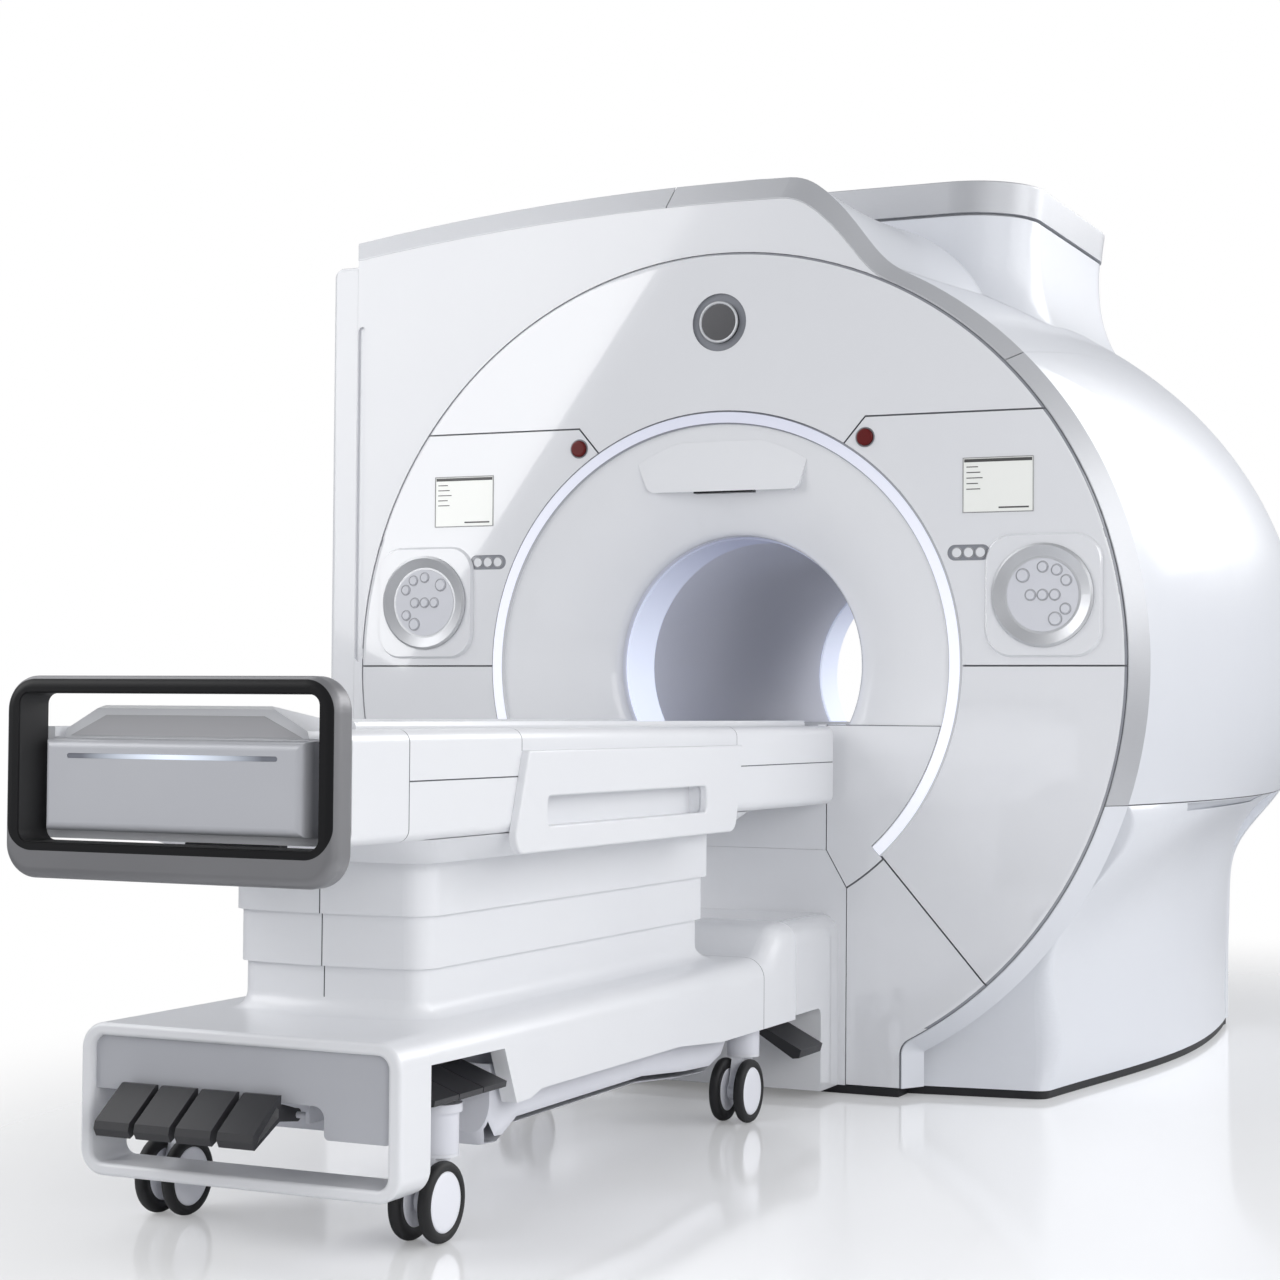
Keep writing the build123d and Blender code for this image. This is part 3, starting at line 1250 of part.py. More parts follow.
# Table top: two side mouldings with the channel floor between them, and the foot-end cap in the same section
with BuildSketch() as deck_section:
    with Locations((0, (deck_bottom + deck_top) / 2)):
        Rectangle(2 * deck_half, deck_top - deck_bottom)
    fillet(deck_section.vertices().group_by(Axis.Y)[-1], deck_shoulder)
    fillet(deck_section.vertices().group_by(Axis.Y)[0], deck_heel)
    with Locations((0, bridge_top)):
        Rectangle(2 * channel_half, deck_top, align=(Align.CENTER, Align.MIN), mode=Mode.SUBTRACT)
    with Locations((channel_half + joint_gap / 2, deck_top), (-channel_half - joint_gap / 2, deck_top)):
        Rectangle(joint_gap, 2 * deck_top, mode=Mode.SUBTRACT)
with BuildPart() as deck_trough:
    with BuildSketch(facing(deck_front)):
        add(deck_section.sketch)
    extrude(amount=-(deck_rear - deck_front))
    with Locations((0, (deck_front + deck_rear) / 2, deck_ceiling)):
        Box(2 * deck_cavity, deck_rear - deck_front - 2 * deck_wall, deck_top, mode=Mode.SUBTRACT,
            align=(Align.CENTER, Align.CENTER, Align.MAX))
    for hand in (-1, 1):
        for first, last in ((deck_front, handle_top[0]), (handle_top[1], deck_rear)):
            with Locations((hand * deck_half, (first + last) / 2, side_seam_z)):
                Box(2 * seam_depth, last - first, groove_width, mode=Mode.SUBTRACT)
        with Locations((hand * (deck_half + 10), (grip_slot[0] + grip_slot[1]) / 2,
                        (grip_slot[2] + grip_slot[3]) / 2)):
            Box(2 * (grip_pocket + 10), grip_slot[1] - grip_slot[0] + 10, grip_slot[3] - grip_slot[2] + 4,
                mode=Mode.SUBTRACT)
with BuildPart() as foot_cap:
    with BuildSketch(facing(cap_front)):
        add(deck_section.sketch)
    extrude(amount=-(deck_front - joint_gap - cap_front))
    with Locations((0, cap_front + deck_wall, deck_ceiling)):
        Box(2 * deck_cavity, deck_front - cap_front, deck_top, mode=Mode.SUBTRACT,
            align=(Align.CENTER, Align.MIN, Align.MAX))
with BuildPart() as table_deck:
    add(deck_trough.part)
    add(foot_cap.part)
save(table_deck, "table_deck")

# Side handles, one on each side of the table top
with BuildPart() as side_handles:
    for hand in (-1, 1):
        with BuildSketch(Plane.YZ.offset(hand * (deck_half + joint_gap))) as handle_shape:
            add(polygon([(handle_top[0], handle_high), (handle_top[1], handle_high),
                           (handle_foot[1], handle_low), (handle_foot[0], handle_low)]))
            fillet(handle_shape.vertices().group_by(Axis.Y)[0], 34)
            fillet(handle_shape.vertices().group_by(Axis.Y)[-1], 6)
            with Locations(((grip_slot[0] + grip_slot[1]) / 2, (grip_slot[2] + grip_slot[3]) / 2)):
                RectangleRounded(grip_slot[1] - grip_slot[0], grip_slot[3] - grip_slot[2], 14,
                                 mode=Mode.SUBTRACT)
        extrude(amount=hand * handle_skin)
    outer_faces = side_handles.faces().group_by(Axis.X)
    fillet(outer_faces[0].edges() + outer_faces[-1].edges(), 5)
save(side_handles, "side_handles")

# Housing at the foot end, with its light bar
with BuildPart() as end_housing:
    with BuildSketch(facing(cap_front - joint_gap)):
        with Locations((0, (housing_low + housing_high) / 2)):
            Rectangle(2 * housing_rear_half, housing_high - housing_low)
    with BuildSketch(facing(housing_face)):
        with Locations((0, (housing_low + housing_high) / 2)):
            Rectangle(2 * housing_face_half, housing_high - housing_low - 6)
    loft()
    fillet(end_housing.edges().filter_by(Axis.Y, reverse=True).group_by(Axis.Y)[0], 15)
    with BuildSketch(facing(housing_face)):
        with Locations((0, light_bar_z)):
            SlotOverall(light_bar_length, light_bar_width)
    extrude(amount=-light_bar_depth, mode=Mode.SUBTRACT)
save(end_housing, "end_housing")

with BuildPart() as end_light:
    with BuildSketch(facing(housing_face + light_bar_depth - joint_gap)):
        with Locations((0, light_bar_z)):
            SlotOverall(light_bar_length - 2 * fit_gap, light_bar_width - 2 * fit_gap)
    extrude(amount=light_bar_depth - joint_gap - 1)
save(end_light, "end_light")

# Push handle: a rounded loop round the foot end
with BuildPart() as loop_space:
    for y, side in ((loop_front, loop_front_side), (cap_front, loop_rear_side)):
        with BuildSketch(facing(y)):
            with Locations((0, (loop_low + loop_bottom_rail + loop_high - loop_top_rail) / 2)):
                RectangleRounded(2 * (loop_half - side),
                                 loop_high - loop_top_rail - loop_low - loop_bottom_rail, loop_inner_corner)
    loft()
with BuildPart() as push_handle:
    with BuildSketch(facing(cap_front - joint_gap)):
        with Locations((0, (loop_low + loop_high) / 2)):
            RectangleRounded(2 * loop_half, loop_high - loop_low, loop_corner)
    extrude(amount=cap_front - joint_gap - loop_front)
    fillet(push_handle.faces().group_by(Axis.Y)[0].face().outer_wire().edges(), loop_crown)
    fillet(push_handle.faces().group_by(Axis.Y)[-1].face().outer_wire().edges(), 12)
    add(loop_space.part, mode=Mode.SUBTRACT)
save(push_handle, "push_handle")

# Cradle that carries the patient into the bore, with the raised grip at its foot end
with BuildPart() as cradle:
    with BuildSketch(facing(cradle_front)):
        with BuildLine():
            dish = ThreePointArc((-cradle_half + 20, cradle_top), (0, cradle_top - cradle_dish),
                                 (cradle_half - 20, cradle_top))
            Polyline(dish @ 1, (cradle_half - 4, cradle_top), (cradle_half, cradle_top - 8),
                     (cradle_half, cradle_bottom), (-cradle_half, cradle_bottom), (-cradle_half, cradle_top - 8),
                     (-cradle_half + 4, cradle_top), dish @ 0)
        make_face()
    extrude(amount=-(cradle_rear - cradle_front))
    with BuildSketch(facing(cap_front)):
        add(polygon([(-wedge_foot, cradle_bottom), (wedge_foot, cradle_bottom), (wedge_foot - 4, cradle_bottom + 14),
                     (wedge_head, wedge_top), (-wedge_head, wedge_top), (-wedge_foot + 4, cradle_bottom + 14)]))
    extrude(amount=-(cradle_front + 12 - cap_front))
    with BuildSketch(across(cradle_half)):
        add(polygon([(cap_front - 1, wedge_top + 5), (cap_front - 1, wedge_top - 6), (cap_front + 10, wedge_top),
                       (cradle_front + 12, cradle_top - 2), (cradle_front + 12, wedge_top + 5)]))
    extrude(amount=2 * cradle_half, mode=Mode.SUBTRACT)
save(cradle, "cradle")

# Front pedals: sloping pads on arms that turn on one shaft
for number, x in enumerate(front_pedal_x, start=1):
    with BuildPart() as pedal:
        with BuildSketch(Plane.YZ.offset(x - front_pad_width / 2)):
            add(polygon(front_pad_line))
        extrude(amount=front_pad_width)
        with BuildSketch(Plane.YZ.offset(x - front_arm_width / 2)):
            add(polygon(front_arm_line))
            with Locations(front_pivot):
                Circle(hub_radius)
                Circle(shaft_radius + fit_gap, mode=Mode.SUBTRACT)
        extrude(amount=front_arm_width)
        if number == len(front_pedal_x):
            with BuildSketch(Plane.YZ.offset(x + front_pad_width / 2)):
                add(polygon(front_recess_line))
            extrude(amount=-front_recess_depth, mode=Mode.SUBTRACT)
    save(pedal, f"front_pedal_{number}")

# Side pedals, three in a row under the right-hand arch
for number in range(3):
    with BuildPart() as pedal:
        first = side_pedal_start + number * side_pedal_pitch
        with BuildSketch(facing(first)):
            add(polygon(side_pad_line))
            with Locations(side_pivot):
                Circle(hub_radius - 2)
                Circle(shaft_radius + fit_gap, mode=Mode.SUBTRACT)
        extrude(amount=-side_pad_width)
    save(pedal, f"side_pedal_{number + 1}")

# Pedal that releases the table from the magnet
with BuildPart() as dock_pedal:
    with BuildSketch(facing(dock_pad_ends[0])):
        add(polygon(dock_pad_line))
        with Locations(dock_pivot):
            Circle(hub_radius)
            Circle(shaft_radius + fit_gap, mode=Mode.SUBTRACT)
    extrude(amount=-(dock_pad_ends[1] - dock_pad_ends[0]))
save(dock_pedal, "dock_pedal")

# Four twin-wheel casters: a fork that swivels and a wheel pair that rolls
for number, (x, y) in enumerate(caster_places, start=1):
    wheel_y = y - caster_trail
    with BuildPart() as fork:
        with Locations((x, y, stem_bottom - joint_gap)):
            Cylinder(stem_radius, fork_plate, align=(Align.CENTER, Align.CENTER, Align.MAX))
            Cylinder(pin_radius, pin_length, align=(Align.CENTER, Align.CENTER, Align.MIN))
        with BuildSketch(Plane.YZ.offset(x - fork_web / 2)):
            add(polygon([(y + stem_radius - 6, stem_bottom - fork_plate / 2), (wheel_y + 20, wheel_radius - 6),
                           (wheel_y - 18, wheel_radius + 8), (y - stem_radius + 4, stem_bottom - fork_plate / 2)]))
            with Locations((wheel_y, wheel_radius)):
                Circle(axle_hub)
                Circle(axle_radius + fit_gap, mode=Mode.SUBTRACT)
        extrude(amount=fork_web)
    save(fork, f"caster_fork_{number}")
    with BuildPart() as wheels:
        for hand in (-1, 1):
            with BuildSketch(Plane.YZ.offset(x + hand * wheel_inner)):
                with Locations((wheel_y, wheel_radius)):
                    Circle(wheel_radius)
            extrude(amount=hand * wheel_width)
        fillet(wheels.edges().filter_by(GeomType.CIRCLE), 7)
        with BuildSketch(Plane.YZ.offset(x - wheel_inner - 1)):
            with Locations((wheel_y, wheel_radius)):
                Circle(axle_radius)
        extrude(amount=2 * wheel_inner + 2)
    save(wheels, f"caster_wheels_{number}")
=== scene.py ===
"""Looks of the scanner: finishes, small fittings, studio and camera round the frozen frame."""

import logging
import math
from dataclasses import dataclass, field, replace
from enum import Enum
from functools import cache
from typing import Callable, Sequence

import bmesh
import bpy
from mathutils import Matrix, Vector


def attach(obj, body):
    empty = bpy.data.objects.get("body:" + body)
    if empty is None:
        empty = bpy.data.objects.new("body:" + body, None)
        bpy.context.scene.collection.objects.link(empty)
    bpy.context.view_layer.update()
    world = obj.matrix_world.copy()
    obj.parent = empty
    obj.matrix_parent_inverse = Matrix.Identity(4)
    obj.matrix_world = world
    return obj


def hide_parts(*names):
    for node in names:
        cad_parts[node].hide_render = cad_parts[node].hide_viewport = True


Point = tuple[float, float]
Place = tuple[float, float, float]
Colour = tuple[float, float, float]
Tree = bpy.types.NodeTree
Node = bpy.types.Node
Socket = bpy.types.NodeSocket

LOG = logging.getLogger("scanner")
ISO_HEIGHT = 1.1
FACE_Y = -0.874
SHARP_ANGLE = math.radians(38)
GRAIN_DEPTH = 0.001
ON_AXIS = 1e-7
FORWARD = Vector((0, -1, 0))
FLOAT, COLOUR, VECTOR = "NodeSocketFloat", "NodeSocketColor", "NodeSocketVector"

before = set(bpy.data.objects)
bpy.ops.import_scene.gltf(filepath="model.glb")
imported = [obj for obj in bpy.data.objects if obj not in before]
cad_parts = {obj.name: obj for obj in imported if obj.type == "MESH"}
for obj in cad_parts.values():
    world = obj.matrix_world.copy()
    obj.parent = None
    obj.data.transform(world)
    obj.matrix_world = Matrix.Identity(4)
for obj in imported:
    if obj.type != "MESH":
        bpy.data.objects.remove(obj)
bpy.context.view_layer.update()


class Grain(Enum):
    """Kinds of surface effect a finish can use."""

    MOULDED = "moulded_surface"
    BRUSHED = "brushed_surface"


class Along(Enum):
    """Directions in the shared frame; BORE is the distance from the bore axis."""

    X = "X"
    Y = "Y"
    Z = "Z"
    BORE = "Bore Radius"


@dataclass(frozen=True)
class Seam:
    """A fine joint line across a surface, at one place and between two limits.

    Fields:
        across: Direction in which the place is measured.
        place: Where the line lies, in metres.
        half_width: Half the width of the line.
        along: Direction in which the limits are measured.
        low: Lower limit.
        high: Upper limit.
    """

    across: Along
    place: float
    half_width: float = 0.0012
    along: Along = Along.Z
    low: float = -50.0
    high: float = 50.0


def new_group(name: str, inputs: Sequence[tuple[str, str, object]],
              outputs: Sequence[tuple[str, str]]) -> tuple[Tree, Node, Node]:
    """Empty shader group with its sockets.

    Args:
        name: Name of the group.
        inputs: Socket name, socket type and default value of each input.
        outputs: Socket name and socket type of each output.

    Returns:
        The node tree, its input node and its output node.
    """
    tree = bpy.data.node_groups.new(name, "ShaderNodeTree")
    for label, kind, value in inputs:
        socket = tree.interface.new_socket(name=label, in_out="INPUT", socket_type=kind)
        socket.default_value = value
    for label, kind in outputs:
        tree.interface.new_socket(name=label, in_out="OUTPUT", socket_type=kind)
    return tree, tree.nodes.new("NodeGroupInput"), tree.nodes.new("NodeGroupOutput")


def wire(tree: Tree, *pairs: tuple[Socket, Socket]) -> None:
    """Links each source socket to its target socket."""
    for source, target in pairs:
        tree.links.new(source, target)


def set_inputs(node: Node, values: dict[str, object]) -> None:
    """Sets the values of a node's own inputs by their names."""
    for label, value in values.items():
        node.inputs[label].default_value = value


def group_node(tree: Tree, group: Tree) -> Node:
    """Node that uses a shared group."""
    node = tree.nodes.new("ShaderNodeGroup")
    node.node_tree = group
    return node


def noise(tree: Tree, detail: float, rough: float = 0.5) -> Node:
    """Noise texture node with a set detail."""
    node = tree.nodes.new("ShaderNodeTexNoise")
    set_inputs(node, {"Detail": detail, "Roughness": rough})
    return node


def math_node(tree: Tree, operation: str, value: float = 0.0, clamp: bool = False) -> Node:
    """Math node whose second input starts at a value."""
    node = tree.nodes.new("ShaderNodeMath")
    node.operation = operation
    node.use_clamp = clamp
    node.inputs[1].default_value = value
    return node


def vector_node(tree: Tree, operation: str) -> Node:
    """Vector math node."""
    node = tree.nodes.new("ShaderNodeVectorMath")
    node.operation = operation
    return node


def colour_mix(tree: Tree) -> Node:
    """Colour mix node: inputs 0, 6 and 7, output 2."""
    node = tree.nodes.new("ShaderNodeMix")
    node.data_type = "RGBA"
    return node


@cache
def surface_group(kind: Grain) -> Tree:
    """Shared surface effect, built once for each kind.

    Args:
        kind: Moulded skin with a soft mottle and fine texture, or a brushed one with long streaks.

    Returns:
        Group with the outputs Colour, Roughness and Height.
    """
    tree, first, last = new_group(
        kind.value,
        [
            ("Light", COLOUR, (0.8, 0.8, 0.8, 1)),
            ("Dark", COLOUR, (0.7, 0.7, 0.7, 1)),
            ("Mottle Scale", FLOAT, 3.0),
            ("Grain Scale", FLOAT, 900.0),
            ("Roughness", FLOAT, 0.3),
            ("Spread", FLOAT, 0.08),
            ("Stretch", VECTOR, (1, 1, 1)),
        ],
        [("Colour", COLOUR), ("Roughness", FLOAT), ("Height", FLOAT)],
    )
    grain_share, mottle_offset = 0.35, 0.17
    place = tree.nodes.new("ShaderNodeTexCoord")
    stretch = vector_node(tree, "MULTIPLY")
    mottle = noise(tree, 3.0)
    fine = noise(tree, 2.0, 0.6)
    mix = colour_mix(tree)
    both = math_node(tree, "MULTIPLY_ADD", grain_share)
    share = math_node(tree, "SUBTRACT", mottle_offset, True)
    centred = math_node(tree, "SUBTRACT", 0.5)
    spread = math_node(tree, "MULTIPLY")
    total = math_node(tree, "ADD", clamp=True)
    wire(tree, (place.outputs["Object"], stretch.inputs[0]),
         (first.outputs["Stretch"], stretch.inputs[1]), (place.outputs["Object"], mottle.inputs["Vector"]),
         (stretch.outputs[0], fine.inputs["Vector"]),
         (first.outputs["Mottle Scale"], mottle.inputs["Scale"]),
         (first.outputs["Grain Scale"], fine.inputs["Scale"]),
         (fine.outputs["Fac"], both.inputs[0]), (mottle.outputs["Fac"], both.inputs[2]),
         (both.outputs[0], share.inputs[0]), (share.outputs[0], mix.inputs[0]),
         (first.outputs["Light"], mix.inputs[6]), (first.outputs["Dark"], mix.inputs[7]),
         (mix.outputs[2], last.inputs["Colour"]),
         ((fine if kind is Grain.BRUSHED else mottle).outputs["Fac"], centred.inputs[0]),
         (centred.outputs[0], spread.inputs[0]), (first.outputs["Spread"], spread.inputs[1]),
         (spread.outputs[0], total.inputs[0]), (first.outputs["Roughness"], total.inputs[1]),
         (total.outputs[0], last.inputs["Roughness"]), (fine.outputs["Fac"], last.inputs["Height"]))
    return tree


@cache
def frame_group() -> Tree:
    """Shared group that gives a surface point's place in the frame and its distance from the bore axis."""
    tree, _, last = new_group("frame_place", [], [(axis.value, FLOAT) for axis in Along])
    place = tree.nodes.new("ShaderNodeTexCoord")
    parts = tree.nodes.new("ShaderNodeSeparateXYZ")
    offset = vector_node(tree, "MULTIPLY_ADD")
    offset.inputs[1].default_value = (1, 0, 1)
    offset.inputs[2].default_value = (0, 0, -ISO_HEIGHT)
    length = vector_node(tree, "LENGTH")
    wire(tree, (place.outputs["Object"], parts.inputs[0]),
         *((parts.outputs[axis.value], last.inputs[axis.value]) for axis in (Along.X, Along.Y, Along.Z)),
         (place.outputs["Object"], offset.inputs[0]), (offset.outputs[0], length.inputs[0]),
         (length.outputs["Value"], last.inputs[Along.BORE.value]))
    return tree


@cache
def seam_group() -> Tree:
    """Shared mask of one seam: 1 on the line and between its limits, 0 elsewhere."""
    labels = ("Across", "Place", "Half Width", "Along", "Low", "High")
    tree, first, last = new_group("seam_mask", [(label, FLOAT, 0.0) for label in labels],
                                  [("Mask", FLOAT)])
    away, size, near, above, below, both, mask = (
        math_node(tree, operation) for operation in
        ("SUBTRACT", "ABSOLUTE", "LESS_THAN", "GREATER_THAN", "LESS_THAN", "MULTIPLY", "MULTIPLY"))
    wire(tree, (first.outputs["Across"], away.inputs[0]), (first.outputs["Place"], away.inputs[1]),
         (away.outputs[0], size.inputs[0]), (size.outputs[0], near.inputs[0]),
         (first.outputs["Half Width"], near.inputs[1]), (first.outputs["Along"], above.inputs[0]),
         (first.outputs["Low"], above.inputs[1]), (first.outputs["Along"], below.inputs[0]),
         (first.outputs["High"], below.inputs[1]), (above.outputs[0], both.inputs[0]),
         (below.outputs[0], both.inputs[1]), (both.outputs[0], mask.inputs[0]),
         (near.outputs[0], mask.inputs[1]), (mask.outputs[0], last.inputs["Mask"]))
    return tree


@cache
def falloff_group() -> Tree:
    """Shared mask that falls from 1 at a place to 0 at a reach, and stays 0 beyond."""
    labels = ("Across", "Place", "Reach", "Power")
    tree, first, last = new_group("falloff_mask", [(label, FLOAT, 1.0) for label in labels],
                                  [("Mask", FLOAT)])
    away, size = math_node(tree, "SUBTRACT"), math_node(tree, "ABSOLUTE")
    share, bent = math_node(tree, "DIVIDE", clamp=True), math_node(tree, "POWER")
    rest = math_node(tree, "SUBTRACT")
    rest.inputs[0].default_value = 1.0
    wire(tree, (first.outputs["Across"], away.inputs[0]), (first.outputs["Place"], away.inputs[1]),
         (away.outputs[0], size.inputs[0]), (size.outputs[0], share.inputs[0]),
         (first.outputs["Reach"], share.inputs[1]), (share.outputs[0], bent.inputs[0]),
         (first.outputs["Power"], bent.inputs[1]), (bent.outputs[0], rest.inputs[1]),
         (rest.outputs[0], last.inputs["Mask"]))
    return tree


@cache
def loop_group() -> Tree:
    """Shared mask: 1 inside an upright rounded rectangle about x = 0, 0 outside it."""
    labels = ("X", "Z", "Half Width", "Middle", "Half Height", "Radius")
    tree, first, last = new_group("loop_mask", [(label, FLOAT, 0.1) for label in labels], [("Mask", FLOAT)])
    centred, total = math_node(tree, "SUBTRACT"), math_node(tree, "ADD")
    root, inside = math_node(tree, "SQRT"), math_node(tree, "LESS_THAN")
    wire(tree, (first.outputs["Z"], centred.inputs[0]), (first.outputs["Middle"], centred.inputs[1]))
    sides = ((first.outputs["X"], "Half Width"), (centred.outputs[0], "Half Height"))
    for number, (source, half) in enumerate(sides):
        size, inner, reach, positive, square = (
            math_node(tree, operation)
            for operation in ("ABSOLUTE", "SUBTRACT", "SUBTRACT", "MAXIMUM", "MULTIPLY"))
        wire(tree, (source, size.inputs[0]), (first.outputs[half], inner.inputs[0]),
             (first.outputs["Radius"], inner.inputs[1]), (size.outputs[0], reach.inputs[0]),
             (inner.outputs[0], reach.inputs[1]), (reach.outputs[0], positive.inputs[0]),
             (positive.outputs[0], square.inputs[0]), (positive.outputs[0], square.inputs[1]),
             (square.outputs[0], total.inputs[number]))
    wire(tree, (total.outputs[0], root.inputs[0]), (root.outputs[0], inside.inputs[0]),
         (first.outputs["Radius"], inside.inputs[1]), (inside.outputs[0], last.inputs["Mask"]))
    return tree


@dataclass(frozen=True)
class Finish:
    """One finish: a Principled material fed by a shared surface effect."""

    name: str
    light: Colour
    dark: Colour
    roughness: float = 0.3
    metallic: float = 0.0
    coat: float = 0.0
    coat_roughness: float = 0.05
    grain: Grain = Grain.MOULDED
    mottle_scale: float = 3.0
    grain_scale: float = 900.0
    spread: float = 0.06
    stretch: Place = (1.0, 1.0, 1.0)
    bump: float = 0.02
    glow: Colour | None = None
    glow_strength: float = 0.0
    glow_edge: Colour = (0.3, 0.36, 0.5)
    glow_span: tuple[Along, float, float, float] | None = None
    seams: tuple[Seam, ...] = ()
    seam_colour: Colour = (0.10, 0.105, 0.12)
    specular: float = 0.5

    @property
    def label(self) -> str:
        """Name of the material, apart from the names of the frame's own slots."""
        return f"finish_{self.name}"

    def seam_mask(self, tree: Tree, place: Node) -> Socket:
        """Adds the masks of every seam and joins them.

        Args:
            tree: The material's tree.
            place: Its frame place node.

        Returns:
            Output socket of the joint mask.
        """
        total = None
        for seam in self.seams:
            node = group_node(tree, seam_group())
            wire(tree, (place.outputs[seam.across.value], node.inputs["Across"]),
                 (place.outputs[seam.along.value], node.inputs["Along"]))
            set_inputs(node, {"Place": seam.place, "Half Width": seam.half_width, "Low": seam.low,
                              "High": seam.high})
            if total is None:
                total = node.outputs["Mask"]
                continue
            joint = math_node(tree, "MAXIMUM")
            wire(tree, (total, joint.inputs[0]), (node.outputs["Mask"], joint.inputs[1]))
            total = joint.outputs[0]
        return total

    def glow_mask(self, tree: Tree, place: Node) -> Socket:
        """Adds the mask that is 1 where the glow is strongest."""
        across, middle, reach, power = self.glow_span
        node = group_node(tree, falloff_group())
        wire(tree, (place.outputs[across.value], node.inputs["Across"]))
        set_inputs(node, {"Place": middle, "Reach": reach, "Power": power})
        return node.outputs["Mask"]

    def material(self) -> bpy.types.Material:
        """The Blender material, made on first use.

        Returns:
            Material whose colour, roughness and bump come from the surface effect.
        """
        found = bpy.data.materials.get(self.label)
        if found:
            return found
        mat = bpy.data.materials.new(self.label)
        mat.use_nodes = True
        tree = mat.node_tree
        shader = tree.nodes["Principled BSDF"]
        effect = group_node(tree, surface_group(self.grain))
        set_inputs(effect, {
            "Light": (*self.light, 1), "Dark": (*self.dark, 1), "Mottle Scale": self.mottle_scale,
            "Grain Scale": self.grain_scale, "Roughness": self.roughness, "Spread": self.spread,
            "Stretch": self.stretch,
        })
        bump = tree.nodes.new("ShaderNodeBump")
        set_inputs(bump, {"Strength": self.bump, "Distance": GRAIN_DEPTH})
        wire(tree, (effect.outputs["Height"], bump.inputs["Height"]),
             (effect.outputs["Roughness"], shader.inputs["Roughness"]),
             (effect.outputs["Colour"], shader.inputs["Base Color"]),
             (bump.outputs["Normal"], shader.inputs["Normal"]))
        set_inputs(shader, {"Metallic": self.metallic, "Specular IOR Level": self.specular,
                            "Coat Weight": self.coat, "Coat Roughness": self.coat_roughness})
        place = group_node(tree, frame_group()) if self.seams or self.glow_span else None
        if self.seams:
            lined = colour_mix(tree)
            lined.inputs[7].default_value = (*self.seam_colour, 1)
            wire(tree, (self.seam_mask(tree, place), lined.inputs[0]),
                 (effect.outputs["Colour"], lined.inputs[6]), (lined.outputs[2], shader.inputs["Base Color"]))
        if self.glow:
            set_inputs(shader, {"Emission Color": (*self.glow, 1), "Emission Strength": self.glow_strength})
        if self.glow and self.glow_span:
            fade = colour_mix(tree)
            fade.inputs[6].default_value = (*self.glow_edge, 1)
            fade.inputs[7].default_value = (*self.glow, 1)
            wire(tree, (self.glow_mask(tree, place), fade.inputs[0]),
                 (fade.outputs[2], shader.inputs["Emission Color"]))
        return mat


@dataclass(frozen=True)
class LinedFinish(Finish):
    """A metal finish with a soft black lining inside an upright rounded rectangle."""

    lining: Colour = (0.012, 0.012, 0.013)
    half_width: float = 0.341
    low: float = 0.722
    high: float = 1.027
    radius: float = 0.056

    def material(self) -> bpy.types.Material:
        """The Blender material, with the lining's mask in its colour and its metallic value.

        Returns:
            The material, made on first use.
        """
        made = self.label in bpy.data.materials
        mat = super().material()
        if made:
            return mat
        tree = mat.node_tree
        shader = tree.nodes["Principled BSDF"]
        place = group_node(tree, frame_group())
        mask = group_node(tree, loop_group())
        set_inputs(mask, {"Half Width": self.half_width, "Middle": (self.low + self.high) / 2,
                          "Half Height": (self.high - self.low) / 2, "Radius": self.radius})
        lined = colour_mix(tree)
        lined.inputs[7].default_value = (*self.lining, 1)
        metal = math_node(tree, "MULTIPLY_ADD", -self.metallic)
        metal.inputs[2].default_value = self.metallic
        plain = shader.inputs["Base Color"].links[0].from_socket
        wire(tree, (place.outputs["X"], mask.inputs["X"]), (place.outputs["Z"], mask.inputs["Z"]),
             (mask.outputs["Mask"], lined.inputs[0]), (plain, lined.inputs[6]),
             (lined.outputs[2], shader.inputs["Base Color"]), (mask.outputs["Mask"], metal.inputs[0]),
             (metal.outputs[0], shader.inputs["Metallic"]))
        return mat


DECK_LINE, DECK_LIP, OVERLAP = 0.850, 0.899, 0.0005
FOOT_JOINT, LINE_FOOT, HANDLE_FOOT, HANDLE_HEAD, DECK_HEAD = -3.0691, -3.069, -2.6405, -1.5615, -0.92
GROOVE_MIDDLE, COVER_LINE, BLOCK_JOINT = FACE_Y + 0.0085, 0.752, -1.3852
PLATE_GROOVES = (Seam(Along.Y, GROOVE_MIDDLE, 0.0060),)
COVER_SEAM = (Seam(Along.Z, COVER_LINE, 0.0016),)
DECK_SEAMS = (
    Seam(Along.Y, FOOT_JOINT, 0.0013),
    Seam(Along.Y, HANDLE_FOOT, 0.0011, low=DECK_LIP), Seam(Along.Y, HANDLE_HEAD, 0.0011, low=DECK_LIP),
    Seam(Along.Z, DECK_LINE, 0.0013, Along.Y, LINE_FOOT, HANDLE_FOOT + OVERLAP),
    Seam(Along.Z, DECK_LINE, 0.0013, Along.Y, HANDLE_HEAD - OVERLAP, DECK_HEAD),
)
RING_EDGES = (Seam(Along.BORE, 0.6690, 0.0017), Seam(Along.BORE, 0.6380, 0.0017))
SHELL_SEAMS = (Seam(Along.X, 0.0, low=0.47, high=0.70),)
BASE_SEAMS = (Seam(Along.X, 0.0, low=0.424, high=0.53), Seam(Along.Y, BLOCK_JOINT, 0.0013))

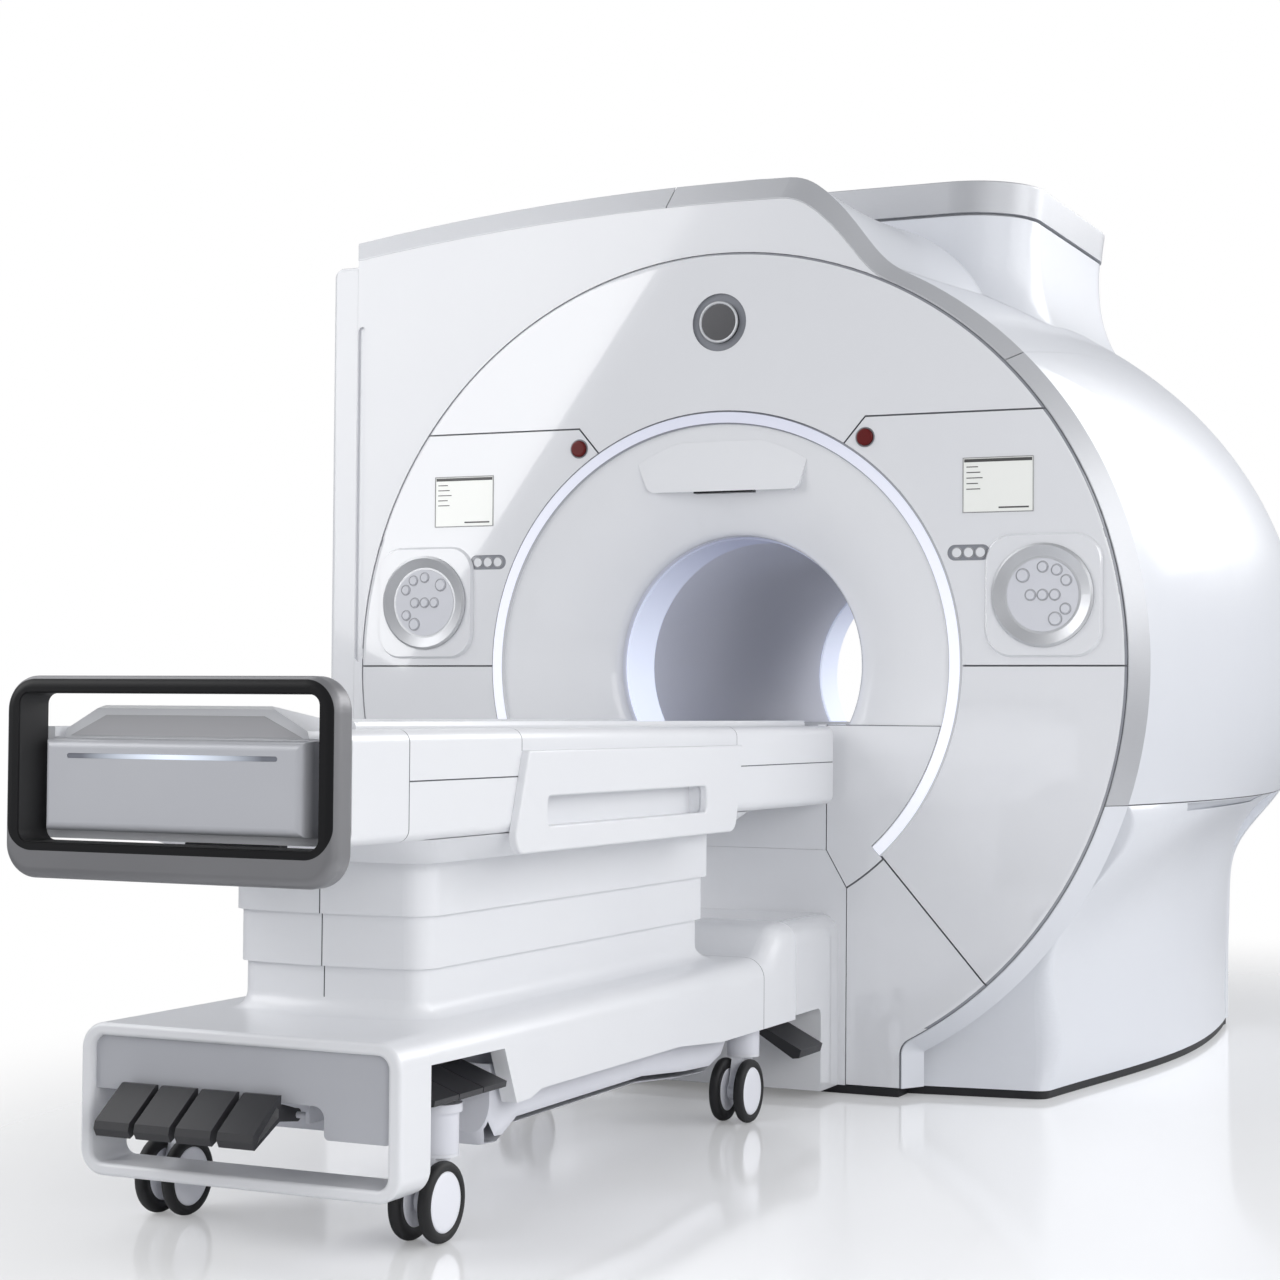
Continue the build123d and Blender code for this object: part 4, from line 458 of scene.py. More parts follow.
FRONT_WHITE = Finish("front_cover_white", (0.80, 0.81, 0.835), (0.77, 0.78, 0.81), 0.07, coat=1.0,
                     coat_roughness=0.02, spread=0.02, bump=0.004, seams=PLATE_GROOVES,
                     seam_colour=(0.27, 0.28, 0.31))
SHELL_WHITE = Finish("shell_white", (0.80, 0.81, 0.835), (0.77, 0.78, 0.81), 0.20, coat=0.5, spread=0.04,
                     bump=0.01)
SIDE_WHITE = Finish("side_cover_white", (0.76, 0.78, 0.82), (0.73, 0.75, 0.80), 0.34, coat=0.15,
                    seams=COVER_SEAM)
TABLE_WHITE = Finish("table_white", (0.82, 0.83, 0.85), (0.79, 0.80, 0.83), 0.30, coat=0.15,
                     coat_roughness=0.3, bump=0.01)
DECK_WHITE = replace(TABLE_WHITE, name="deck_white", seams=DECK_SEAMS)
COLUMN_WHITE = replace(TABLE_WHITE, name="lift_column_white", seams=SHELL_SEAMS)
BASE_WHITE = replace(TABLE_WHITE, name="table_base_white", seams=BASE_SEAMS)
FUNNEL_WHITE = Finish("funnel_white", (0.85, 0.86, 0.88), (0.83, 0.84, 0.87), 0.14, coat=0.7, spread=0.03,
                      bump=0.01)
BORE_WHITE = Finish("bore_white", (0.76, 0.77, 0.83), (0.72, 0.73, 0.80), 0.4)
SILVER = Finish("brushed_silver", (0.61, 0.62, 0.645), (0.54, 0.55, 0.575), 0.42, 0.40, grain=Grain.BRUSHED,
                grain_scale=60.0, stretch=(1.0, 1.0, 14.0), spread=0.14, bump=0.03)
DIAL_METAL = Finish("dial_metal", (0.74, 0.75, 0.77), (0.58, 0.59, 0.61), 0.42, 0.7, grain=Grain.BRUSHED,
                    grain_scale=260.0, stretch=(1.0, 12.0, 1.0), spread=0.14, bump=0.05)
KEY_PAD = Finish("key_membrane", (0.68, 0.69, 0.73), (0.62, 0.63, 0.68), 0.38)
KEY_RING = Finish("key_ring_grey", (0.46, 0.465, 0.49), (0.38, 0.385, 0.41), 0.45)
SCREEN = Finish("screen_glass", (0.62, 0.63, 0.62), (0.58, 0.59, 0.58), 0.12, coat=0.5,
                glow=(0.80, 0.81, 0.76), glow_strength=0.35)
SCREEN_BAR = Finish("screen_bar_grey", (0.10, 0.10, 0.10), (0.07, 0.07, 0.07))
SCREEN_FRAME = Finish("screen_frame_grey", (0.34, 0.34, 0.35), (0.28, 0.28, 0.29), 0.4)
STOP_RED = Finish("stop_red", (0.13, 0.008, 0.008), (0.095, 0.006, 0.006), 0.34, coat=0.1, specular=0.25)
STOP_COLLAR = Finish("stop_collar_grey", (0.30, 0.30, 0.32), (0.24, 0.24, 0.26), 0.4, 0.5, bump=0.03)
BADGE_METAL = Finish("badge_metal", (0.115, 0.115, 0.12), (0.075, 0.075, 0.08), 0.24, 0.85,
                     grain=Grain.BRUSHED, grain_scale=300.0, spread=0.1, bump=0.03)
LIT = Finish("light_diffuser", (0.60, 0.61, 0.70), (0.57, 0.58, 0.67), 0.4, glow=(0.66, 0.68, 0.72),
             glow_strength=0.75, glow_edge=(0.22, 0.23, 0.27), glow_span=(Along.Z, 0.80, 0.95, 2.0),
             seams=RING_EDGES, seam_colour=(0.02, 0.022, 0.03))
LIT_BORE = Finish("bore_diffuser", (0.50, 0.52, 0.62), (0.46, 0.48, 0.58), 0.4, glow=(0.80, 0.86, 1.0),
                  glow_strength=0.76, glow_edge=(0.04, 0.045, 0.09), glow_span=(Along.Z, 0.95, 0.52, 1.6))
LIT_BAR = Finish("end_bar_diffuser", (0.20, 0.21, 0.24), (0.17, 0.18, 0.21), glow=(0.80, 0.88, 1.0),
                 glow_strength=1.0, glow_edge=(0.015, 0.016, 0.02), glow_span=(Along.X, 0.0, 0.19, 1.3))
GREY_HOUSING = Finish("housing_grey", (0.60, 0.61, 0.64), (0.54, 0.55, 0.59), 0.4, 0.1, grain_scale=1400.0,
                      coat=0.1, bump=0.05)
# Painted shade: a darker grey for the flat slab on the cradle's wedge, standing in for the shade in the
# wedge's inner recess.
WEDGE_PAINTED_SHADE = Finish("wedge_recess_painted_shade", (0.54, 0.54, 0.555), (0.49, 0.49, 0.51), 0.42, bump=0.04)
LOOP_METAL = LinedFinish("loop_metal", (0.30, 0.30, 0.31), (0.24, 0.24, 0.25), 0.40, 0.5, grain_scale=1200.0,
                         bump=0.05, specular=0.2)
LOOP_BLACK = Finish("loop_lining_black", (0.030, 0.030, 0.031), (0.022, 0.022, 0.023), 0.5, bump=0.06)
PANEL_GREY = Finish("panel_grey", (0.54, 0.55, 0.58), (0.48, 0.49, 0.53), 0.36, 0.2, grain_scale=1400.0,
                    bump=0.04)
CHASSIS_GREY = Finish("chassis_grey", (0.74, 0.75, 0.80), (0.69, 0.70, 0.76), 0.4, bump=0.04)
CRADLE_WHITE = Finish("cradle_white", (0.80, 0.81, 0.83), (0.77, 0.78, 0.81), bump=0.03)
PEDAL_BLACK = Finish("pedal_black", (0.032, 0.032, 0.036), (0.020, 0.020, 0.023), 0.42, grain_scale=700.0,
                     bump=0.12)
PEDAL_LINING = Finish("pedal_lining_grey", (0.30, 0.30, 0.31), (0.22, 0.22, 0.23), 0.35, 0.3, bump=0.05)
FORK_WHITE = Finish("fork_white", (0.78, 0.79, 0.83), (0.74, 0.75, 0.80), coat=0.2)
TYRE = Finish("tyre_black", (0.020, 0.020, 0.021), (0.012, 0.012, 0.013), 0.6, grain_scale=500.0, bump=0.15)
HUB = Finish("hub_lavender", (0.86, 0.87, 0.92), (0.82, 0.83, 0.89), 0.4, bump=0.04)
PLINTH = Finish("plinth_black", (0.020, 0.020, 0.022), (0.013, 0.013, 0.015), 0.5)
VESSEL = Finish("vessel_paint", (0.55, 0.57, 0.60), (0.48, 0.50, 0.54), 0.45)
RESIN = Finish("coil_resin", (0.36, 0.28, 0.15), (0.30, 0.23, 0.12), 0.4)
WINDOW = Finish("window_dark", (0.014, 0.014, 0.016), (0.010, 0.010, 0.012), specular=0.2)
# Painted shade: a darker grey on the faces of the right skirt's grip recess stands in for the shade inside
# the recess.
GRIP_PAINTED_SHADE = Finish("grip_recess_painted_shade", (0.54, 0.56, 0.60), (0.50, 0.52, 0.57), 0.38)
LATCH_BLACK = Finish("latch_black", (0.030, 0.030, 0.034), (0.020, 0.020, 0.023), 0.4, bump=0.06)

NODE_FINISHES: dict[str, Finish] = {
    **dict.fromkeys(("upper_fascia", "lower_fascias", "foot_panels", "left_console", "right_console",
                     "bore_bridge", "bore_aprons", "dock_housing"), FRONT_WHITE),
    **dict.fromkeys(("front_shell", "column_cover"), SHELL_WHITE),
    **dict.fromkeys(("side_cover_right", "side_cover_left", "skirt_covers", "rear_cover", "turret_cover"),
                    SIDE_WHITE),
    **dict.fromkeys(("base_bezel", "side_handles"), TABLE_WHITE),
    **dict.fromkeys(("middle_shell", "upper_shell"), COLUMN_WHITE),
    "base_covers": BASE_WHITE, "table_deck": DECK_WHITE,
    **dict.fromkeys(("front_funnel", "rear_funnel", "light_housing"), FUNNEL_WHITE),
    **dict.fromkeys(("edge_band", "turret_rim"), SILVER),
    **dict.fromkeys(("stop_button_left", "stop_button_right"), STOP_RED),
    **dict.fromkeys([f"front_pedal_{i}" for i in range(1, 5)], PEDAL_BLACK),
    **dict.fromkeys([f"side_pedal_{i}" for i in range(1, 4)] + ["dock_pedal"], PEDAL_BLACK),
    **dict.fromkeys([f"caster_fork_{i}" for i in range(1, 5)], FORK_WHITE),
    **dict.fromkeys([f"caster_wheels_{i}" for i in range(1, 5)], TYRE),
    "light_rings": LIT, "bore_tube": BORE_WHITE, "dial_bezels": DIAL_METAL, "key_pads": KEY_PAD,
    "console_screens": SCREEN, "badge": BADGE_METAL, "magnet_vessel": VESSEL, "gradient_coil": RESIN,
    "plinth": PLINTH, "bezel_panel": PANEL_GREY, "chassis": CHASSIS_GREY, "end_housing": GREY_HOUSING,
    "end_light": LIT_BAR, "push_handle": LOOP_METAL, "cradle": CRADLE_WHITE,
}


def new_object(name: str, data: bpy.types.ID) -> bpy.types.Object:
    """New object in the scene's own collection."""
    obj = bpy.data.objects.new(name, data)
    bpy.context.scene.collection.objects.link(obj)
    return obj


def mesh_object(name: str, mesh: bmesh.types.BMesh) -> bpy.types.Object:
    """New object made of a bmesh, which is freed."""
    data = bpy.data.meshes.new(name)
    mesh.to_mesh(data)
    mesh.free()
    return new_object(name, data)


def dress(obj: bpy.types.Object, finish: Finish, bevel: float = 0.0, segments: int = 3,
          hard: bool = False) -> None:
    """Gives a mesh its finish, rounded edges and clean shading.

    Args:
        obj: The mesh object.
        finish: The finish that covers it.
        bevel: Width of the rounding in metres, or 0 for none.
        segments: Steps in the rounding.
        hard: True where the flat faces keep their own normals beside the rounding.
    """
    obj.data.materials.clear()
    obj.data.materials.append(finish.material())
    for face in obj.data.polygons:
        face.use_smooth = True
    if bevel:
        rounding = obj.modifiers.new("rounding", "BEVEL")
        rounding.width = bevel
        rounding.segments = segments
        rounding.limit_method = "ANGLE"
        rounding.angle_limit = SHARP_ANGLE
        rounding.harden_normals = hard
    normals = obj.modifiers.new("normals", "WEIGHTED_NORMAL")
    normals.keep_sharp = True


def add_mesh(name: str, mesh: bmesh.types.BMesh, body: str, finish: Finish,
             bevel: float = 0.0) -> bpy.types.Object:
    """Turns a bmesh into a dressed piece that rides on a body.

    Args:
        name: Name of the piece.
        mesh: Its geometry in the row frame, freed here.
        body: The CAD body that carries it.
        finish: Its finish.
        bevel: Width of the edge rounding in metres.

    Returns:
        The new object.
    """
    bmesh.ops.recalc_face_normals(mesh, faces=mesh.faces)
    obj = mesh_object(name, mesh)
    dress(obj, finish, bevel)
    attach(obj, body)
    LOG.info("piece %s on %s", name, body)
    return obj


def lathe(mesh: bmesh.types.BMesh, profile: Sequence[Point], centre: Vector, axis: Vector,
          steps: int = 48, closed: bool = True) -> None:
    """Adds a turned form to a bmesh.

    Args:
        mesh: The bmesh to add to.
        profile: Points as (radius, distance along the axis).
        centre: Where distance 0 lies.
        axis: Direction of the axis.
        steps: Steps round the turn.
        closed: True where the profile is a loop and its last point joins its first.
    """
    axis = axis.normalized()
    side = axis.orthogonal().normalized()
    other = axis.cross(side)
    rings = []
    for radius, along in profile:
        if radius < ON_AXIS:
            rings.append([mesh.verts.new(centre + axis * along)])
            continue
        ring = []
        for step in range(steps):
            turn = 2 * math.pi * step / steps
            ring.append(mesh.verts.new(centre + axis * along + side * radius * math.cos(turn)
                                       + other * radius * math.sin(turn)))
        rings.append(ring)
    for first, second in zip(rings, rings[1:] + ([rings[0]] if closed else [])):
        if len(first) == 1 and len(second) == 1:
            continue
        for step in range(steps):
            after = (step + 1) % steps
            corners = [first[step % len(first)], first[after % len(first)],
                       second[after % len(second)], second[step % len(second)]]
            mesh.faces.new(list(dict.fromkeys(corners)))


def section_at(radius: float, section: Sequence[Point]) -> list[Point]:
    """Profile for a lathe from a section whose radii are measured from a base radius."""
    return [(radius + out, along) for out, along in section]


def slab(mesh: bmesh.types.BMesh, outline: Sequence[Point], back: float, front: float) -> None:
    """Adds an upright plate to a bmesh.

    Args:
        mesh: The bmesh to add to.
        outline: Points as (x, z).
        back: Depth y of the back.
        front: Depth y of the front.
    """
    rear = [mesh.verts.new((x, back, z)) for x, z in outline]
    face = [mesh.verts.new((x, front, z)) for x, z in outline]
    mesh.faces.new(rear)
    mesh.faces.new(face)
    for i in range(len(outline)):
        j = (i + 1) % len(outline)
        mesh.faces.new([rear[i], rear[j], face[j], face[i]])


def rectangle(left: float, low: float, right: float, high: float) -> list[Point]:
    """Corners of an upright rectangle as (x, z)."""
    return [(left, low), (right, low), (right, high), (left, high)]


def rounded_loop(half: float, low: float, high: float, radius: float, steps: int = 10) -> list[Point]:
    """Rounded rectangle about x = 0, as (x, z) points in order."""
    points = []
    for cx, cz, start in ((half - radius, high - radius, 0), (-half + radius, high - radius, 90),
                          (-half + radius, low + radius, 180), (half - radius, low + radius, 270)):
        for step in range(steps + 1):
            turn = math.radians(start + 90 * step / steps)
            points.append((cx + radius * math.cos(turn), cz + radius * math.sin(turn)))
    return points


def in_grip_recess(face: bpy.types.MeshPolygon) -> bool:
    """True for a face inside the grip recess of the right skirt, which takes painted shade."""
    x, y, z = face.center
    return x > 0 and -0.456 < y < 0.331 and 0.7285 < z < 0.7482


def in_bore(face: bpy.types.MeshPolygon) -> bool:
    """True for a face of the light bands behind the front ring."""
    return face.center.y > -0.80


def in_pedal_hollow(face: bpy.types.MeshPolygon) -> bool:
    """True for a face of the hollow in the free side of the last front pedal."""
    x, y, z = face.center
    return 0.08 < x < 0.0985 and y < -3.098 and z < 0.275


@dataclass
class CadDressing:
    """Finishes and edge roundings of the CAD nodes that stay visible."""

    roundings: dict[str, float] = field(default_factory=lambda: {
        "upper_fascia": 0.0012, "lower_fascias": 0.0012, "foot_panels": 0.0012, "left_console": 0.0012,
        "right_console": 0.0012, "front_shell": 0.0015, "column_cover": 0.0015, "edge_band": 0.0012,
        "bore_bridge": 0.002, "bore_aprons": 0.0012, "dock_housing": 0.002, "light_housing": 0.003,
        "side_cover_right": 0.0008, "side_cover_left": 0.0008, "skirt_covers": 0.0008, "turret_cover": 0.0008,
        "rear_cover": 0.006, "turret_rim": 0.0015, "table_deck": 0.0015, "base_covers": 0.0015,
        "base_bezel": 0.002, "bezel_panel": 0.0015, "upper_shell": 0.0015, "middle_shell": 0.0015,
        "side_handles": 0.002, "end_housing": 0.0015, "cradle": 0.003, "front_pedal": 0.0025,
        "side_pedal": 0.002, "dock_pedal": 0.003, "caster_fork": 0.002, "chassis": 0.002, "badge": 0.0005,
        "dial_bezels": 0.0006, "key_pads": 0.0008, "light_rings": 0.0006, "push_handle": 0.0008,
        "plinth": 0.001,
    })
    rounding_steps: int = 2
    flat_nodes: tuple[str, ...] = ("table_deck", "base_covers", "side_handles", "cradle")

    def rounding_of(self, node: str) -> float:
        """Edge rounding of a node, by its own name or by its name without its number."""
        if node in self.roundings:
            return self.roundings[node]
        return self.roundings.get(node.rsplit("_", 1)[0], 0.0)

    def apply(self) -> None:
        """Dresses every CAD node."""
        for node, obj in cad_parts.items():
            dress(obj, NODE_FINISHES[node], self.rounding_of(node), self.rounding_steps,
                  node in self.flat_nodes)
            LOG.info("dressed %s", node)
        # Painted shade on the faces of the right skirt's grip recess.
        self.second_finish("skirt_covers", GRIP_PAINTED_SHADE, in_grip_recess)
        self.second_finish("light_rings", LIT_BORE, in_bore)
        self.second_finish("front_pedal_4", PEDAL_LINING, in_pedal_hollow)

    def second_finish(self, node: str, finish: Finish,
                      chosen: Callable[[bpy.types.MeshPolygon], bool]) -> None:
        """Gives some faces of a node a finish of their own.

        Args:
            node: Name of the CAD node.
            finish: The other finish.
            chosen: Says for a face whether it takes that finish.
        """
        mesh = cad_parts[node].data
        mesh.materials.append(finish.material())
        for face in mesh.polygons:
            if chosen(face):
                face.material_index = 1


@dataclass
class Consoles:
    """Small fittings of the two control consoles; the places are those of the right one."""

    dial: Point = (0.882, 1.273)
    pill: Point = (0.688, 1.383)
    screen: Point = (0.764, 1.553)
    stop: Point = (0.410, 1.686)
    screen_size: Point = (0.184, 0.140)
    pad_y: float = FACE_Y - 0.010
    pill_y: float = FACE_Y + 0.003
    pill_pitch: float = 0.031
    pill_key: float = 0.012
    keys: tuple[Place, ...] = (
        (-0.051, 0.049, 0.015), (0.032, -0.060, 0.015), (0.0, 0.070, 0.012), (0.036, 0.062, 0.012),
        (0.060, 0.036, 0.012), (-0.031, 0.0, 0.012), (0.0, 0.0, 0.012), (0.031, 0.0, 0.012),
        (0.058, -0.035, 0.012),
    )
    ring_section: tuple[Point, ...] = ((0.0032, 0.0), (0.0026, 0.0010), (0.0012, 0.0010), (0.0006, 0.0))
    collar_section: tuple[Point, ...] = ((0.0262, 0.0), (0.0258, 0.0016), (0.0236, 0.0020), (0.0226, 0.0012),
                                         (0.0226, -0.004), (0.0262, -0.004))
    print_back: float = FACE_Y - 0.0008
    print_front: float = FACE_Y - 0.0016
    rule_widths: tuple[float, ...] = (0.030, 0.036, 0.042, 0.030, 0.036)
    rule_half: float = 0.0012
    rule_inset: float = 0.010
    rule_drop: float = 0.024
    rule_pitch: float = 0.014
    edge_width: float = 0.0022
    edge_front: float = FACE_Y - 0.0022

    def ring(self, mesh: bmesh.types.BMesh, x: float, z: float, radius: float, y: float) -> None:
        """Adds one fine ring round a key."""
        lathe(mesh, section_at(radius, self.ring_section), Vector((x, y, z)), FORWARD, 32)

    def key_rings(self) -> None:
        """Dark rings round every key."""
        mesh = bmesh.new()
        for hand in (-1, 1):
            for x, z, radius in self.keys:
                self.ring(mesh, hand * (self.dial[0] + x), self.dial[1] + z, radius, self.pad_y)
            for step in (-1, 0, 1):
                x = hand * self.pill[0] + step * self.pill_pitch
                self.ring(mesh, x, self.pill[1], self.pill_key, self.pill_y)
        add_mesh("key_rings", mesh, "magnet", KEY_RING)

    def screen_box(self, hand: int) -> tuple[float, float, float, float]:
        """Left, lower, right and upper edge of the screen on one hand."""
        x, z = hand * self.screen[0], self.screen[1]
        half, tall = self.screen_size[0] / 2, self.screen_size[1] / 2
        return x - half, z - tall, x + half, z + tall

    def screen_fields(self) -> None:
        """Header bar, field rules and a plain box on each screen."""
        mesh = bmesh.new()
        for hand in (-1, 1):
            left, low, right, high = self.screen_box(hand)
            boxes = [rectangle(left + 0.004, high - 0.012, right - 0.004, high - 0.004)]
            for row, wide in enumerate(self.rule_widths):
                start, z = left + self.rule_inset, high - self.rule_drop - self.rule_pitch * row
                boxes.append(rectangle(start, z - self.rule_half, start + wide, z + self.rule_half))
            boxes.append(rectangle((left + right) / 2 + 0.002, low + 0.010, right - 0.012, low + 0.014))
            for box in boxes:
                slab(mesh, box, self.print_back, self.print_front)
        add_mesh("screen_fields", mesh, "magnet", SCREEN_BAR)

    def screen_frames(self) -> None:
        """Fine grey frame round each screen."""
        mesh = bmesh.new()
        wide = self.edge_width
        for hand in (-1, 1):
            left, low, right, high = self.screen_box(hand)
            for box in (rectangle(left, low, right, low + wide), rectangle(left, high - wide, right, high),
                        rectangle(left, low + wide, left + wide, high - wide),
                        rectangle(right - wide, low + wide, right, high - wide)):
                slab(mesh, box, self.print_back, self.edge_front)
        add_mesh("screen_frames", mesh, "magnet", SCREEN_FRAME, 0.0004)

    def stop_collars(self) -> None:
        """Thin metal collar round each stop button."""
        mesh = bmesh.new()
        for hand in (-1, 1):
            lathe(mesh, self.collar_section, Vector((hand * self.stop[0], FACE_Y, self.stop[1])), FORWARD)
        add_mesh("stop_collars", mesh, "magnet", STOP_COLLAR)

    def build(self) -> None:
        """Builds every fitting of the consoles."""
        self.key_rings()
        self.stop_collars()
        self.screen_fields()
        self.screen_frames()


@dataclass
class BlankBadge:
    """Bright rim round the blank dome of the badge."""

    height: float = 2.007
    radius: float = 0.055
    foot: float = FACE_Y + 0.0005
    section: tuple[Point, ...] = ((-0.001, 0.0), (0.001, 0.005), (-0.002, 0.0065), (-0.006, 0.006),
                                  (-0.007, 0.003))

    def build(self) -> None:
        """Builds the rim."""
        mesh = bmesh.new()
        lathe(mesh, section_at(self.radius, self.section), Vector((0, self.foot, self.height)), FORWARD, 64)
        add_mesh("badge_rim", mesh, "magnet", SILVER)


@dataclass
class HandleLining:
    """Soft black lip round the inside of the push handle."""

    front_half: float = 0.3155
    rear_half: float = 0.2975
    low: float = 0.7355
    high: float = 1.0045
    radius: float = 0.0225
    thickness: float = 0.003
    front: float = -3.3195
    rear: float = -3.2625
    front_step: float = 0.003
    rear_step: float = 0.001

    def build(self) -> None:
        """Builds the lip as a strip with rounded corners that narrows towards the table."""
        mesh = bmesh.new()
        loops = []
        for half, inset, y in ((self.front_half, 0.0, self.front),
                               (self.front_half, self.thickness, self.front + self.front_step),
                               (self.rear_half, self.thickness, self.rear - self.rear_step),
                               (self.rear_half, 0.0, self.rear)):
            outline = rounded_loop(half - inset, self.low + inset, self.high - inset, self.radius - inset)
            loops.append([mesh.verts.new((x, y, z)) for x, z in outline])
        count = len(loops[0])
        for first, second in zip(loops, loops[1:] + loops[:1]):
            for i in range(count):
                j = (i + 1) % count
                mesh.faces.new([first[i], first[j], second[j], second[i]])
        add_mesh("loop_lining", mesh, "table_top", LOOP_BLACK)


@dataclass
class FootEnd:
    """Small pieces at the foot end of the table: a grey slab on the wedge, whose darker colour is painted
    shade of the wedge's inner recess, and the latch bar under the cap.
    """

    wedge_back: float = -3.2615
    wedge_front: float = -3.2632
    wedge_foot: float = 0.246
    wedge_head: float = 0.167
    wedge_low: float = 0.926
    wedge_high: float = 0.9635
    latch: tuple[float, float, float, float] = (0.004, 0.728, 0.200, 0.7415)
    latch_front: float = -3.262
    latch_rear: float = -3.236
    teeth: tuple[float, ...] = (0.030, 0.100, 0.170)
    tooth_half: float = 0.012
    tooth_low: float = 0.726
    tooth_high: float = 0.731
    tooth_depth: float = 0.004

    def build(self) -> None:
        """Builds the painted-shade slab on the cradle and the latch on the table top."""
        panel = bmesh.new()
        outline = [(-self.wedge_foot, self.wedge_low), (self.wedge_foot, self.wedge_low),
                   (self.wedge_head, self.wedge_high), (-self.wedge_head, self.wedge_high)]
        slab(panel, outline, self.wedge_back, self.wedge_front)
        # The slab's darker grey is painted shade of the wedge's inner recess.
        add_mesh("wedge_recess_shade_slab", panel, "cradle_body", WEDGE_PAINTED_SHADE, 0.0005)
        bar = bmesh.new()
        slab(bar, rectangle(*self.latch), self.latch_rear, self.latch_front)
        for x in self.teeth:
            slab(bar, rectangle(x - self.tooth_half, self.tooth_low, x + self.tooth_half, self.tooth_high),
                 self.latch_rear - self.tooth_depth, self.latch_front + self.tooth_depth)
        add_mesh("foot_latch", bar, "table_top", LATCH_BLACK, 0.0012)


@dataclass
class Casters:
    """Treads, hub discs and axle caps of the four twin-wheel casters.

    The tread's section is measured from the wheel's radius, and the disc's from its axis.
    """

    places: tuple[Point, ...] = ((-0.28, -2.88), (0.28, -2.88), (-0.28, -1.396), (0.28, -1.396))
    radius: float = 0.075
    inner: float = 0.019
    axle_radius: float = 0.0078
    axle_half: float = 0.023
    tread_section: tuple[Point, ...] = (
        (-0.025, 0.0015), (-0.010, 0.0), (-0.0035, 0.002), (-0.0008, 0.007), (0.0, 0.012), (-0.0008, 0.017),
        (-0.0035, 0.022), (-0.010, 0.024), (-0.016, 0.0235), (-0.018, 0.020), (-0.025, 0.020),
    )
    disc_section: tuple[Point, ...] = (
        (0.0, 0.0228), (0.020, 0.0224), (0.046, 0.0232), (0.054, 0.0222), (0.0565, 0.0195), (0.0565, 0.004),
        (0.048, 0.001), (0.016, 0.001), (0.0082, 0.001),
    )

    def build(self) -> None:
        """Builds the treads, discs and axles of every caster."""
        tread_profile = section_at(self.radius, self.tread_section)
        half = self.axle_half
        axle = [(0.0, -half), (self.axle_radius, -half), (self.axle_radius, half), (0.0, half)]
        for number, (x, y) in enumerate(self.places, start=1):
            body = f"caster_wheels_{number}"
            treads, discs = bmesh.new(), bmesh.new()
            for hand in (-1, 1):
                centre, outwards = Vector((x + hand * self.inner, y, self.radius)), Vector((hand, 0, 0))
                lathe(treads, tread_profile, centre, outwards, 72)
                lathe(discs, self.disc_section, centre, outwards, 72, closed=False)
            lathe(discs, axle, Vector((x, y, self.radius)), Vector((1, 0, 0)), 24, closed=False)
            tread = add_mesh(f"caster_treads_{number}", treads, body, TYRE)
            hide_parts(f"caster_wheels_{number}")
            add_mesh(f"caster_discs_{number}", discs, body, HUB)


@dataclass
class AlignmentWindow:
    """Dark lens in the light housing above the bore."""

    half_width: float = 0.085
    front: float = -0.842
    rear: float = -0.818
    low: float = 1.5576
    high: float = 1.562

    def build(self) -> None:
        """Builds the lens as a thin bevelled strip under its window."""
        mesh = bmesh.new()
        slab(mesh, rectangle(-self.half_width, self.low, self.half_width, self.high), self.rear, self.front)
        add_mesh("alignment_lens", mesh, "magnet", WINDOW, 0.0006)


